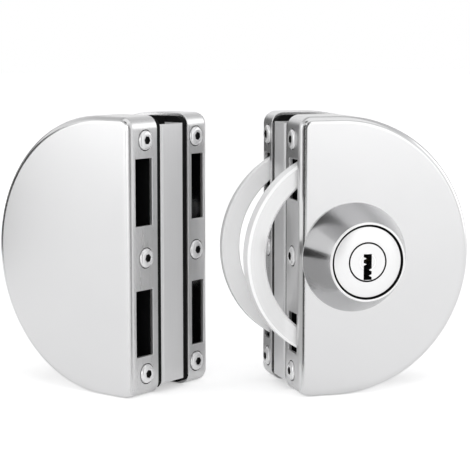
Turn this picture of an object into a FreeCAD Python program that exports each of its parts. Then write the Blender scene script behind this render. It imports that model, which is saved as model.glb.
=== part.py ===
import FreeCAD, Part
import math
import os
import Sketcher

# Glass door lock for two leaves of glass, in millimetres, +Z up.
# The origin is the point where the edge of the lock's glass leaf seats in the edge channel.
# The glass runs towards +X from there, the key side faces -Y, and the strips with the bolt slots face -X.
# The keeper half stands to the left, turned so that its strips face the viewer's right.

doc = FreeCAD.newDocument("glass_door_lock")
sheet = doc.addObject("Spreadsheet::Sheet", "sizes")

DRIVING_SIZES = [
    ("casing_height", 110.0),
    ("casing_flat", 16.3),
    ("front_depth", 16.8),
    ("rear_depth", 12.9),
    ("cover_wall", 1.5),
    ("face_round", 2.8),
    ("corner_round", 5.0),
    ("glass_thickness", 12.0),
    ("channel_web", 1.0),
    ("channel_leg", 0.8),
    ("channel_reach", 9.0),
    ("channel_end", 3.6),
    ("channel_bend", 1.3),
    ("gasket_thickness", 3.45),
    ("gasket_inset", 1.2),
    ("gasket_setback", 0.8),
    ("rebate_gap", 0.2),
    ("plate_thickness", 2.0),
    ("seat_gap", 0.2),
    ("block_reach", 5.5),
    ("block_span", 9.5),
    ("screw_end", 9.2),
    ("front_screw_setback", 7.0),
    ("rear_screw_setback", 5.0),
    ("screw_thread", 4.0),
    ("screw_play", 0.05),
    ("screw_hole_gap", 0.2),
    ("screw_head", 7.8),
    ("head_height", 1.7),
    ("head_bevel", 0.7),
    ("head_sink", 0.6),
    ("head_gap", 0.4),
    ("socket_across", 3.0),
    ("socket_deep", 1.5),
    ("strip_screw_length", 6.0),
    ("axis_setback", 22.2),
    ("crescent_gap", 1.8),
    ("crescent_width", 7.4),
    ("front_bolt_standoff", 4.8),
    ("front_bolt_thickness", 7.6),
    ("front_bolt_bevel", 0.9),
    ("rear_bolt_standoff", 4.0),
    ("rear_bolt_thickness", 4.0),
    ("rear_bolt_bevel", 0.4),
    ("slot_above", 1.8),
    ("slot_below", 4.1),
    ("slot_inside", 1.7),
    ("front_slot_outside", 0.5),
    ("rear_slot_outside", 1.6),
    ("keeper_slot_above", 0.5),
    ("keeper_slot_below", 9.7),
    ("arm_width", 10.0),
    ("hub_wall", 3.0),
    ("stop_radius", 2.0),
    ("stop_inset", 10.5),
    ("core_before", 4.2),
    ("core_after", 4.8),
    ("core_above", 5.0),
    ("notch_gap", 0.3),
    ("clamp_before", 7.0),
    ("clamp_after", 14.0),
    ("clamp_boss", 9.0),
    ("clamp_boss_height", 2.4),
    ("square_across", 9.0),
    ("square_gap", 0.05),
    ("journal_step", 0.14),
    ("running_gap", 0.05),
    ("bush_wall", 2.0),
    ("bush_length", 8.0),
    ("bush_flange_width", 1.5),
    ("bush_flange_thickness", 1.5),
    ("bush_gap", 0.04),
    ("end_gap", 0.3),
    ("groove_land", 1.1),
    ("circlip_thickness", 1.0),
    ("circlip_width", 2.6),
    ("circlip_opening", 6.0),
    ("spindle_tip", 0.4),
    ("plug_radius", 7.4),
    ("plug_end_play", 0.1),
    ("pin_radius", 1.25),
    ("pin_pitch", 3.0),
    ("pin_count", 4),
    ("driver_length", 2.6),
    ("spring_length", 2.4),
    ("body_wall", 0.55),
    ("body_gap", 0.2),
    ("head_ledge", 0.7),
    ("head_length", 7.0),
    ("face_recess", 0.5),
    ("rim_gap", 0.75),
    ("rim_wall", 0.75),
    ("rim_round", 0.6),
    ("bezel_flare", 6.25),
    ("bezel_height", 15.1),
    ("skirt_gap", 0.2),
    ("skirt_wall", 3.0),
    ("skirt_depth", 3.6),
    ("nut_wall", 1.5),
    ("nut_thickness", 2.3),
    ("keyway_width", 3.3),
    ("keyway_height", 10.0),
    ("keyway_drop", 1.9),
    ("keyway_ward", 1.15),
    ("tail_gap", 1.0),
    ("tail_thickness", 1.5),
    ("tongue_thickness", 2.8),
    ("tongue_width", 8.0),
    ("tongue_reach", 6.2),
    ("tongue_gap", 0.2),
    ("rose_radius", 20.0),
    ("rose_height", 6.0),
    ("shank_wall", 1.5),
    ("shank_gap", 0.3),
    ("turn_wall", 3.0),
    ("turn_height", 20.0),
    ("turn_tip", 4.5),
    ("turn_reach", 19.0),
    ("turn_round", 2.0),
    ("spindle_in_turn", 8.0),
    ("grub_radius", 2.0),
    ("grub_length", 6.0),
    ("grub_height", 5.0),
    ("keeper_distance", 24.0),
    ("keeper_y", 4.1),
    ("keeper_turn", 54.4),
]

for row, (alias, number) in enumerate(DRIVING_SIZES, start=1):
    sheet.set("A%d" % row, alias)
    sheet.set("B%d" % row, str(number))
    sheet.setAlias("B%d" % row, alias)
doc.recompute()


class Size:
    """A length held both as a number and as the formula that binds it to the sheet."""

    def __init__(self, number, formula):
        self.number = number
        self.formula = formula

    def __add__(self, other):
        other = as_size(other)
        return Size(self.number + other.number, "(%s + %s)" % (self.formula, other.formula))

    def __sub__(self, other):
        other = as_size(other)
        return Size(self.number - other.number, "(%s - %s)" % (self.formula, other.formula))

    def __mul__(self, factor):
        return Size(self.number * factor, "(%s * %r)" % (self.formula, factor))

    def __neg__(self):
        return Size(-self.number, "(-1 * %s)" % self.formula)


def as_size(value):
    return value if isinstance(value, Size) else Size(float(value), repr(float(value)))


def size(alias):
    return Size(float(sheet.get(alias)), "sizes." + alias)


def smaller(one, other):
    return Size(min(one.number, other.number), "min(%s; %s)" % (one.formula, other.formula))


def diagonal(along, across):
    """How far apart two points are, from their distances along two axes."""
    return Size(math.hypot(along.number, across.number), "hypot(%s; %s)" % (along.formula, across.formula))


def half_chord(radius, distance):
    """Half the chord that a circle cuts from a line at the given distance from its centre."""
    number = math.sqrt(radius.number ** 2 - distance.number ** 2)
    return Size(number, "sqrt(%s ^ 2 - %s ^ 2)" % (radius.formula, distance.formula))


class Side:
    """The depths of one side of the lock, from the glass outwards."""

    def __init__(self, name):
        self.depth = size(name + "_depth")
        self.inside = self.depth - size("cover_wall")
        self.screw_setback = size(name + "_screw_setback")
        self.bolt_back = size(name + "_bolt_standoff")
        self.bolt_thickness = size(name + "_bolt_thickness")
        self.bolt_front = self.bolt_back + self.bolt_thickness
        self.bolt_bevel = size(name + "_bolt_bevel")
        self.slot_near = self.bolt_back - size("slot_inside")
        self.slot_far = self.bolt_front + size(name + "_slot_outside")
        self.groove_end = self.bolt_front + size("circlip_thickness")


# The key side has the deeper casings and the thicker crescent.
FRONT = Side("front")
REAR = Side("rear")

# The casing, the glass between the two gaskets, and the screws through the strip.
half_height = size("casing_height") * 0.5
casing_reach = size("casing_flat") + half_height
glass_gap = size("glass_thickness") + size("gasket_thickness") * 2
half_gap = glass_gap * 0.5
screw_spread = half_height - size("screw_end")
screw_heights = [screw_spread, as_size(0), -screw_spread]
screw_hole = size("screw_thread") * 0.5 + size("screw_hole_gap")
tapped_hole = size("screw_thread") * 0.5 + size("screw_play")
block_end = size("cover_wall") + size("seat_gap") + size("block_reach")

# The crescent runs past the screw blocks and the casing's far wall, and the slots let it through the strip.
block_corner = diagonal(size("axis_setback") - block_end, screw_spread - size("block_span") * 0.5)
far_wall = casing_reach - size("cover_wall") - size("axis_setback")
crescent_outer = smaller(block_corner, far_wall) - size("crescent_gap")
crescent_inner = crescent_outer - size("crescent_width")
slot_high = half_chord(crescent_outer, size("axis_setback") - size("cover_wall")) + size("slot_above")
slot_low = half_chord(crescent_inner, size("axis_setback")) - size("slot_below")
lock_slots = (slot_low, slot_high)
keeper_slots = (slot_low - size("keeper_slot_below"), slot_high + size("keeper_slot_above"))

# The spindle and what turns on it.
half_square = size("square_across") * 0.5
journal_radius = half_square * 1.41421 + size("journal_step")
bush_outside = journal_radius + size("bush_wall")
bush_flange = bush_outside + size("bush_flange_width")
hub_radius = journal_radius + size("hub_wall")
hub_seat = size("bush_flange_thickness") + size("end_gap")
groove_radius = half_square + size("groove_land")
circlip_radius = groove_radius + size("circlip_width")
spindle_front = FRONT.groove_end + size("spindle_tip")
shank_radius = journal_radius + size("shank_wall")
rose_top = REAR.depth + size("rose_height")
turn_seat = rose_top + size("end_gap")
turn_boss = shank_radius + size("turn_wall")
spindle_rear = turn_seat + size("spindle_in_turn")

# The core block in the glass and its four clamp screws.
half_clamp = hub_radius + size("clamp_boss") * 0.5
half_core = half_clamp + size("core_above")
core_start = size("axis_setback") - size("clamp_before") - size("core_before")
core_end = size("axis_setback") + size("clamp_after") + size("core_after")
clamp_places = [
    (size("axis_setback") - size("clamp_before"), half_clamp),
    (size("axis_setback") + size("clamp_after"), half_clamp),
    (size("axis_setback") - size("clamp_before"), -half_clamp),
    (size("axis_setback") + size("clamp_after"), -half_clamp),
]

# The key cylinder, from its bore outwards and from its face inwards.
plug_bore = size("plug_radius") + size("running_gap")
driver_start = plug_bore + size("running_gap")
spring_start = driver_start + size("driver_length")
pin_bore_end = plug_bore + size("driver_length") + size("spring_length")
cylinder_body = pin_bore_end + size("body_wall")
cylinder_head = cylinder_body + size("head_ledge")
rim_inside = cylinder_head + size("rim_gap")
bezel_rim = rim_inside + size("rim_wall")
bezel_base = bezel_rim + size("bezel_flare")
body_hole = cylinder_body + size("body_gap")
bezel_top = FRONT.depth + size("bezel_height")
cylinder_face = bezel_top - size("face_recess")
shoulder = cylinder_face - size("head_length")
skirt_start = FRONT.groove_end + size("skirt_gap")
skirt_inside = cylinder_body - size("skirt_wall")
housing_back = skirt_start + size("skirt_depth")
plug_back = housing_back - size("plug_end_play")
tongue_end = plug_back - size("tail_thickness") - size("tongue_reach")

# The keeper stands clear of the thrown crescents.
keeper_reach = crescent_outer - size("axis_setback") + size("keeper_distance")

# Seats. A casing is drawn with its outline in X and Y and its depth in +Z, from the glass outwards.
UPRIGHT = FreeCAD.Rotation(FreeCAD.Vector(1, 0, 0), 90)
REVERSED = FreeCAD.Rotation(FreeCAD.Vector(1, 0, 0), -90)
LOCK = FreeCAD.Placement(FreeCAD.Vector(-size("channel_web").number, 0, 0), FreeCAD.Rotation())
KEEPER = FreeCAD.Placement(
    FreeCAD.Vector(-keeper_reach.number, size("keeper_y").number, 0),
    FreeCAD.Rotation(FreeCAD.Vector(0, 0, 1), 180 - size("keeper_turn").number),
)


def casing_seat(half, turned, x=0.0, out=0.0):
    """Placement of a piece drawn in the casing's own axes, on the -Y side or, turned, on the +Y side."""
    side = 1 if turned else -1
    shift = FreeCAD.Vector(x, side * (half_gap.number + out), 0)
    return half * FreeCAD.Placement(shift, REVERSED if turned else UPRIGHT)


LOCK_FRONT = casing_seat(LOCK, False)
LOCK_REAR = casing_seat(LOCK, True)
KEEPER_FRONT = casing_seat(KEEPER, True)
KEEPER_REAR = casing_seat(KEEPER, False)
AXIS_FRONT = casing_seat(LOCK, False, x=size("axis_setback").number)
AXIS_REAR = casing_seat(LOCK, True, x=size("axis_setback").number)

nodes = []


def new_body(label, seat):
    body = doc.addObject("PartDesign::Body", label)
    body.Label = label
    body.Placement = seat
    nodes.append(body)
    return body


def origin_plane(body, role):
    for feature in body.Origin.OriginFeatures:
        if feature.Role == role:
            return feature
    raise RuntimeError("no plane " + role)


def new_sketch(body, role="XY_Plane", offset=None):
    sketch = body.newObject("Sketcher::SketchObject", body.Name + "_sketch")
    sketch.AttachmentSupport = [(origin_plane(body, role), "")]
    sketch.MapMode = "FlatFace"
    if offset is not None:
        sketch.setExpression("AttachmentOffset.Base.z", offset.formula)
    return sketch


def hold(sketch, kind, place, value):
    """A dimension of the sketch, bound to the sheet."""
    index = sketch.addConstraint(Sketcher.Constraint(kind, *place, value.number))
    sketch.setExpression("Constraints[%d]" % index, value.formula)


def hold_point(sketch, line, end, point):
    hold(sketch, "DistanceX", (line, end), as_size(point[0]))
    hold(sketch, "DistanceY", (line, end), as_size(point[1]))


def draw_outline(sketch, points):
    """A closed outline of straight lines through points that are all dimensioned."""
    spots = [FreeCAD.Vector(as_size(x).number, as_size(y).number, 0) for x, y in points]
    lines = []
    for start, end in zip(spots, spots[1:] + spots[:1]):
        lines.append(sketch.addGeometry(Part.LineSegment(start, end), False))
    for line, following in zip(lines, lines[1:] + lines[:1]):
        sketch.addConstraint(Sketcher.Constraint("Coincident", line, 2, following, 1))
    for line, point in zip(lines, points):
        hold_point(sketch, line, 1, point)
    return lines


def draw_rectangle(sketch, low_x, high_x, low_y, high_y):
    draw_outline(sketch, [(low_x, low_y), (high_x, low_y), (high_x, high_y), (low_x, high_y)])


def draw_circle(sketch, x, y, radius):
    x = as_size(x)
    y = as_size(y)
    shape = Part.Circle(FreeCAD.Vector(x.number, y.number, 0), FreeCAD.Vector(0, 0, 1), radius.number)
    circle = sketch.addGeometry(shape, False)
    hold(sketch, "Radius", (circle,), radius)
    hold_point(sketch, circle, 3, (x, y))


def arc_shape(centre, radius, start, end):
    circle = Part.Circle(FreeCAD.Vector(centre[0], centre[1], 0), FreeCAD.Vector(0, 0, 1), radius)
    return Part.ArcOfCircle(circle, math.radians(start), math.radians(end))


def draw_d(sketch, inset, setback):
    """The casing's D: a straight strip side, two short level sides and one large arc, corners rounded."""
    radius = half_height - inset
    centre = size("casing_flat")
    corner = size("corner_round") - inset
    top = radius.number
    left = setback.number
    reach = centre.number
    bend = corner.number
    spot = FreeCAD.Vector
    shapes = [
        Part.LineSegment(spot(reach, top, 0), spot(left + bend, top, 0)),
        arc_shape((left + bend, top - bend), bend, 90, 180),
        Part.LineSegment(spot(left, top - bend, 0), spot(left, bend - top, 0)),
        arc_shape((left + bend, bend - top), bend, 180, 270),
        Part.LineSegment(spot(left + bend, -top, 0), spot(reach, -top, 0)),
        arc_shape((reach, 0), top, -90, 90),
    ]
    upper, corner_up, strip, corner_down, lower, back = [sketch.addGeometry(s, False) for s in shapes]
    joins = [
        (upper, 2, corner_up, 1),
        (corner_up, 2, strip, 1),
        (strip, 2, corner_down, 1),
        (corner_down, 2, lower, 1),
        (lower, 2, back, 1),
        (back, 2, upper, 1),
    ]
    for join in joins:
        sketch.addConstraint(Sketcher.Constraint("Tangent", *join))
    sketch.addConstraint(Sketcher.Constraint("Horizontal", upper))
    sketch.addConstraint(Sketcher.Constraint("Horizontal", lower))
    sketch.addConstraint(Sketcher.Constraint("Vertical", strip))
    hold(sketch, "DistanceX", (strip, 1), setback)
    hold(sketch, "Radius", (back,), radius)
    hold(sketch, "Radius", (corner_up,), corner)
    hold(sketch, "Radius", (corner_down,), corner)
    hold_point(sketch, back, 3, (centre, 0))


def pad(body, sketch, length, reverse=False):
    feature = body.newObject("PartDesign::Pad", body.Name + "_pad")
    feature.Profile = sketch
    feature.Reversed = reverse
    feature.setExpression("Length", length.formula)
    doc.recompute()
    return feature


def volume_of(body):
    return 0.0 if body.Shape.isNull() else body.Shape.Volume


def pocket(body, sketch, length, along):
    """A cut of the given length; along says whether it runs the way the sketch faces."""
    before = volume_of(body)
    feature = body.newObject("PartDesign::Pocket", body.Name + "_cut")
    feature.Profile = sketch
    feature.Reversed = along
    feature.setExpression("Length", length.formula)
    doc.recompute()
    if volume_of(body) > before - 1e-6:
        raise RuntimeError("a cut in %s removed nothing" % body.Label)
    return feature


def revolve(body, sketch):
    feature = body.newObject("PartDesign::Revolution", body.Name + "_turned")
    feature.Profile = sketch
    feature.ReferenceAxis = (sketch, ["V_Axis"])
    feature.Angle = 360
    doc.recompute()
    return feature


def edges_where(feature, test):
    return ["Edge%d" % number for number, edge in enumerate(feature.Shape.Edges, start=1) if test(edge)]


def level_edges(feature, height):
    """Names of the edges that lie wholly at one height of the body's own Z."""
    return edges_where(
        feature,
        lambda edge: abs(edge.BoundBox.ZMin - height) < 1e-4 and abs(edge.BoundBox.ZMax - height) < 1e-4,
    )


def round_edges(body, feature, names, radius):
    rounding = body.newObject("PartDesign::Fillet", body.Name + "_round")
    rounding.Base = (feature, names)
    rounding.setExpression("Radius", radius.formula)
    doc.recompute()
    return rounding


def bevel_edges(body, feature, names, width):
    bevel = body.newObject("PartDesign::Chamfer", body.Name + "_bevel")
    bevel.Base = (feature, names)
    bevel.setExpression("Size", width.formula)
    doc.recompute()
    return bevel


# Casing covers: drawn steel shells with a rounded face, bolt slots and sunk screw holes in the strip.
def make_cover(label, seat, side, slots, face_hole=None):
    body = new_body(label, seat)
    outside = new_sketch(body)
    draw_d(outside, as_size(0), as_size(0))
    blank = pad(body, outside, side.depth)
    round_edges(body, blank, level_edges(blank, side.depth.number), size("face_round"))
    inside = new_sketch(body)
    draw_d(inside, size("cover_wall"), size("cover_wall"))
    pocket(body, inside, side.inside, True)
    strip = new_sketch(body, "YZ_Plane")
    for height in screw_heights:
        draw_circle(strip, height, side.screw_setback, screw_hole)
    low, high = slots
    draw_rectangle(strip, low, high, side.slot_near, side.slot_far)
    draw_rectangle(strip, -high, -low, side.slot_near, side.slot_far)
    pocket(body, strip, size("cover_wall") * 2, True)
    sinks = new_sketch(body, "YZ_Plane")
    for height in screw_heights:
        draw_circle(sinks, height, side.screw_setback, size("screw_head") * 0.5 + size("head_gap"))
    pocket(body, sinks, size("head_sink"), True)
    if face_hole is not None:
        hole = new_sketch(body)
        draw_circle(hole, size("axis_setback"), 0, face_hole)
        pocket(body, hole, side.depth + 1, True)
    return body


make_cover("lock_front_cover", LOCK_FRONT, FRONT, lock_slots, body_hole)
make_cover("lock_rear_cover", LOCK_REAR, REAR, lock_slots, shank_radius + size("shank_gap"))
make_cover("keeper_front_cover", KEEPER_FRONT, FRONT, keeper_slots)
make_cover("keeper_rear_cover", KEEPER_REAR, REAR, keeper_slots)


# Clamp plates: flat D plates under the covers, with blocks behind the strip for the cover screws.
def make_base(label, seat, side, has_spindle):
    body = new_body(label, seat)
    tapped = side is FRONT
    edge = size("cover_wall") + size("seat_gap")
    outline = new_sketch(body)
    draw_d(outline, edge, edge)
    pad(body, outline, size("plate_thickness"))
    blocks = new_sketch(body, "YZ_Plane", edge)
    half_block = size("block_span") * 0.5
    block_top = side.screw_setback + half_block
    for height in screw_heights:
        draw_rectangle(blocks, height - half_block, height + half_block, 0, block_top)
    pad(body, blocks, size("block_reach"))
    threads = new_sketch(body, "YZ_Plane", edge)
    for height in screw_heights:
        draw_circle(threads, height, side.screw_setback, tapped_hole)
    pocket(body, threads, size("block_reach"), True)
    if tapped:
        bosses = new_sketch(body, offset=size("plate_thickness"))
        for x, y in clamp_places:
            draw_circle(bosses, x, y, size("clamp_boss") * 0.5)
        pad(body, bosses, size("clamp_boss_height"))
    holes = new_sketch(body)
    for x, y in clamp_places:
        draw_circle(holes, x, y, tapped_hole if tapped else screw_hole)
    if has_spindle:
        draw_circle(holes, size("axis_setback"), 0, bush_flange + size("end_gap"))
    pocket(body, holes, size("plate_thickness") + size("clamp_boss_height"), True)
    return body


make_base("lock_front_base", LOCK_FRONT, FRONT, True)
make_base("lock_rear_base", LOCK_REAR, REAR, True)
make_base("keeper_front_base", KEEPER_FRONT, FRONT, False)
make_base("keeper_rear_base", KEEPER_REAR, REAR, False)


# Gaskets: rubber pads on the glass, rebated for the channel's legs and open round the core block.
def make_gasket(label, seat):
    body = new_body(label, seat)
    outline = new_sketch(body)
    draw_d(outline, size("gasket_inset"), size("gasket_setback"))
    pad(body, outline, size("gasket_thickness"), reverse=True)
    opening = new_sketch(body)
    gap = size("notch_gap")
    draw_rectangle(opening, core_start - gap, core_end + gap, -(half_core + gap), half_core + gap)
    pocket(body, opening, size("gasket_thickness"), False)
    rebate = new_sketch(body, offset=-size("gasket_thickness"))
    rebate_end = size("channel_reach") + size("rebate_gap")
    draw_rectangle(rebate, 0, rebate_end, -half_height, half_height)
    pocket(body, rebate, size("channel_leg"), True)
    return body


make_gasket("lock_front_gasket", LOCK_FRONT)
make_gasket("lock_rear_gasket", LOCK_REAR)
make_gasket("keeper_front_gasket", KEEPER_FRONT)
make_gasket("keeper_rear_gasket", KEEPER_REAR)


# Edge channels: folded sheet over the edge of the glass, the web flush with the strips.
def make_channel(label, seat):
    body = new_body(label, seat)
    inside = size("glass_thickness") * 0.5
    outside = inside + size("channel_leg")
    reach = size("channel_reach")
    web = size("channel_web")
    half_channel = half_height - size("channel_end")
    profile = new_sketch(body, offset=-half_channel)
    corners = [
        (0, -outside),
        (reach, -outside),
        (reach, -inside),
        (web, -inside),
        (web, inside),
        (reach, inside),
        (reach, outside),
        (0, outside),
    ]
    draw_outline(profile, corners)
    folded = pad(body, profile, half_channel * 2)
    bends = edges_where(folded, lambda edge: abs(edge.BoundBox.XMax) < 1e-4 and edge.BoundBox.ZLength > 1)
    outer = round_edges(body, folded, bends, size("channel_bend"))
    inner_bends = edges_where(
        outer,
        lambda edge: edge.BoundBox.ZLength > 1
        and abs(edge.BoundBox.XMax - web.number) < 1e-4
        and abs(abs(edge.BoundBox.YMax) - inside.number) < 1e-4,
    )
    round_edges(body, outer, inner_bends, size("channel_bend") - size("channel_leg"))
    return body


make_channel("lock_edge_channel", LOCK)
make_channel("keeper_edge_channel", KEEPER)


# Core blocks: cast spacers in the notch of the glass, between the two clamp plates.
def make_core(label, seat, has_spindle):
    body = new_body(label, seat)
    outline = new_sketch(body)
    draw_rectangle(outline, core_start, core_end, -half_core, half_core)
    block = pad(body, outline, glass_gap, reverse=True)
    holes = new_sketch(body)
    for x, y in clamp_places:
        draw_circle(holes, x, y, screw_hole)
    if has_spindle:
        draw_circle(holes, size("axis_setback"), 0, bush_outside + size("bush_gap"))
    pocket(body, holes, glass_gap, False)
    return block


make_core("lock_core_block", LOCK_FRONT, True)
make_core("keeper_core_block", KEEPER_REAR, False)


# Button head screws: one pattern, drawn with the head's seat at Z = 0 and the shank below it.
def make_screw(label, seat, length, bevelled):
    body = doc.addObject("PartDesign::Body", label)
    body.Placement = seat
    shank = size("screw_thread") * 0.5
    head = size("screw_head") * 0.5
    profile = new_sketch(body, "XZ_Plane")
    corners = [
        (0, -length),
        (shank, -length),
        (shank, 0),
        (head, 0),
        (head, size("head_height")),
        (0, size("head_height")),
    ]
    draw_outline(profile, corners)
    turned = revolve(body, profile)
    if bevelled:
        rim = edges_where(
            turned,
            lambda edge: abs(edge.BoundBox.ZMin - size("head_height").number) < 1e-4
            and edge.BoundBox.XLength > head.number,
        )
        bevel_edges(body, turned, rim, size("head_bevel"))
    socket = new_sketch(body, offset=size("head_height"))
    corner = size("socket_across") * (0.5 / math.cos(math.radians(30)))
    angles = [math.radians(60 * step) for step in range(6)]
    draw_outline(socket, [(corner * math.cos(a), corner * math.sin(a)) for a in angles])
    pocket(body, socket, size("socket_deep"), False)
    return body


def make_screw_set(label, seats, length, bevelled):
    """Several equal screws of one job, kept as one node of separate solids."""
    screws = [make_screw(label + "_one", seat, length, bevelled) for seat in seats]
    group = doc.addObject("Part::Compound", label)
    group.Label = label
    group.Links = screws
    nodes.append(group)
    doc.recompute()
    return group


def strip_screw_seats(casing, side):
    """The head lies in its sink in the strip and the shank runs towards the casing's inside."""
    out_of_strip = FreeCAD.Rotation(FreeCAD.Vector(0, 1, 0), -90)
    setback = side.screw_setback.number
    sink = size("head_sink").number
    return [
        casing * FreeCAD.Placement(FreeCAD.Vector(sink, height.number, setback), out_of_strip)
        for height in screw_heights
    ]


def clamp_screw_seats(rear_casing):
    """The head lies on the rear plate and the shank runs through the core to the front plate's boss."""
    plate = size("plate_thickness").number
    return [
        rear_casing * FreeCAD.Placement(FreeCAD.Vector(x.number, y.number, plate), FreeCAD.Rotation())
        for x, y in clamp_places
    ]


clamp_length = glass_gap + size("plate_thickness") * 2 + size("clamp_boss_height") - 0.5
make_screw_set("lock_front_cover_screws", strip_screw_seats(LOCK_FRONT, FRONT), size("strip_screw_length"), True)
make_screw_set("lock_rear_cover_screws", strip_screw_seats(LOCK_REAR, REAR), size("strip_screw_length"), True)
make_screw_set("keeper_front_cover_screws", strip_screw_seats(KEEPER_FRONT, FRONT), size("strip_screw_length"), True)
make_screw_set("keeper_rear_cover_screws", strip_screw_seats(KEEPER_REAR, REAR), size("strip_screw_length"), True)
make_screw_set("lock_clamp_screws", clamp_screw_seats(LOCK_REAR), clamp_length, False)
make_screw_set("keeper_clamp_screws", clamp_screw_seats(KEEPER_REAR), clamp_length, False)


# Crescent bolts: a half ring that slides along itself, on one arm and a hub with a square hole.
def make_crescent(label, seat, side, arm_side):
    body = new_body(label, seat)
    ring = new_sketch(body, offset=side.bolt_back)
    far = crescent_outer.number
    near = crescent_inner.number
    spot = FreeCAD.Vector
    shapes = [
        arc_shape((0, 0), far, 90, 270),
        Part.LineSegment(spot(0, -far, 0), spot(0, -near, 0)),
        arc_shape((0, 0), near, 90, 270),
        Part.LineSegment(spot(0, near, 0), spot(0, far, 0)),
    ]
    rim, lower_end, hollow, upper_end = [ring.addGeometry(shape, False) for shape in shapes]
    ring.addConstraint(Sketcher.Constraint("Coincident", rim, 2, lower_end, 1))
    ring.addConstraint(Sketcher.Constraint("Coincident", lower_end, 2, hollow, 2))
    ring.addConstraint(Sketcher.Constraint("Coincident", hollow, 1, upper_end, 1))
    ring.addConstraint(Sketcher.Constraint("Coincident", upper_end, 2, rim, 1))
    hold(ring, "Radius", (rim,), crescent_outer)
    hold(ring, "Radius", (hollow,), crescent_inner)
    hold_point(ring, rim, 3, (0, 0))
    hold_point(ring, hollow, 3, (0, 0))
    hold(ring, "DistanceX", (lower_end, 1), as_size(0))
    hold(ring, "DistanceX", (upper_end, 1), as_size(0))
    blank = pad(body, ring, side.bolt_thickness)
    rims = [round(side.bolt_back.number, 4), round(side.bolt_front.number, 4)]
    edges = edges_where(
        blank,
        lambda edge: edge.BoundBox.XLength > near * 0.9 and round(edge.BoundBox.ZMin, 4) in rims,
    )
    bevel_edges(body, blank, edges, side.bolt_bevel)
    arm = new_sketch(body, offset=side.bolt_back)
    half_arm = size("arm_width") * 0.5
    arm_end = (crescent_inner + size("crescent_width") * 0.7) * arm_side
    draw_rectangle(arm, -half_arm, half_arm, 0, arm_end)
    pad(body, arm, side.bolt_thickness)
    hub = new_sketch(body, offset=hub_seat)
    draw_circle(hub, 0, 0, hub_radius)
    pad(body, hub, side.bolt_front - hub_seat)
    hole = new_sketch(body, offset=hub_seat)
    half_hole = half_square + size("square_gap")
    draw_rectangle(hole, -half_hole, half_hole, -half_hole, half_hole)
    pocket(body, hole, side.bolt_front - hub_seat, True)
    return body


make_crescent("front_crescent_bolt", AXIS_FRONT, FRONT, 1)
make_crescent("rear_crescent_bolt", AXIS_REAR, REAR, -1)


# Spindle: a round journal in the core, square ends for the hubs, a slot for the tailpiece at the front.
def make_spindle():
    body = new_body("spindle", AXIS_FRONT)
    journal = new_sketch(body, offset=hub_seat)
    draw_circle(journal, 0, 0, journal_radius)
    pad(body, journal, glass_gap + hub_seat * 2, reverse=True)
    front = new_sketch(body, offset=hub_seat)
    draw_rectangle(front, -half_square, half_square, -half_square, half_square)
    pad(body, front, spindle_front - hub_seat)
    rear = new_sketch(body, offset=-(glass_gap + hub_seat))
    draw_rectangle(rear, -half_square, half_square, -half_square, half_square)
    pad(body, rear, spindle_rear - hub_seat, reverse=True)
    for start, away in ((FRONT.bolt_front, True), (-(glass_gap + REAR.bolt_front), False)):
        groove = new_sketch(body, offset=start)
        draw_circle(groove, 0, 0, groove_radius)
        draw_circle(groove, 0, 0, journal_radius + 1)
        pocket(body, groove, size("circlip_thickness"), away)
    slot = new_sketch(body, offset=spindle_front)
    half_slot = size("tongue_thickness") * 0.5 + size("tongue_gap")
    draw_rectangle(slot, -half_slot, half_slot, -journal_radius, journal_radius)
    pocket(body, slot, spindle_front - tongue_end + size("end_gap"), False)
    return body


make_spindle()


def make_circlip(label, seat, side):
    body = new_body(label, seat)
    ring = new_sketch(body, offset=side.bolt_front)
    draw_circle(ring, 0, 0, groove_radius + size("running_gap"))
    draw_circle(ring, 0, 0, circlip_radius)
    pad(body, ring, size("circlip_thickness"))
    opening = new_sketch(body, offset=side.bolt_front)
    half_opening = size("circlip_opening") * 0.5
    draw_rectangle(opening, -half_opening, half_opening, 0, circlip_radius + 1)
    pocket(body, opening, size("circlip_thickness"), True)
    return body


make_circlip("front_circlip", AXIS_FRONT, FRONT)
make_circlip("rear_circlip", AXIS_REAR, REAR)


def make_bush(label, seat):
    """A flanged bush pressed into one side of the core."""
    body = new_body(label, seat)
    bore = journal_radius + size("running_gap")
    profile = new_sketch(body, "XZ_Plane")
    corners = [
        (bore, -size("bush_length")),
        (bush_outside, -size("bush_length")),
        (bush_outside, 0),
        (bush_flange, 0),
        (bush_flange, size("bush_flange_thickness")),
        (bore, size("bush_flange_thickness")),
    ]
    draw_outline(profile, corners)
    revolve(body, profile)
    return body


make_bush("front_spindle_bush", AXIS_FRONT)
make_bush("rear_spindle_bush", AXIS_REAR)


# Stop pins: the front crescent's arm meets one when thrown and the other when drawn in.
def make_stop_pins():
    pins = []
    place_x = -(size("arm_width") * 0.5 + size("end_gap") + size("stop_radius"))
    reach = crescent_inner - size("stop_inset")
    for step, height in enumerate((reach, -reach), start=1):
        body = doc.addObject("PartDesign::Body", "stop_pin_%d" % step)
        body.Placement = AXIS_FRONT
        outline = new_sketch(body, offset=size("plate_thickness"))
        draw_circle(outline, place_x, height, size("stop_radius"))
        pad(body, outline, FRONT.bolt_front - size("plate_thickness"))
        pins.append(body)
    group = doc.addObject("Part::Compound", "stop_pins")
    group.Links = pins
    group.Label = "stop_pins"
    nodes.append(group)


make_stop_pins()

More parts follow.
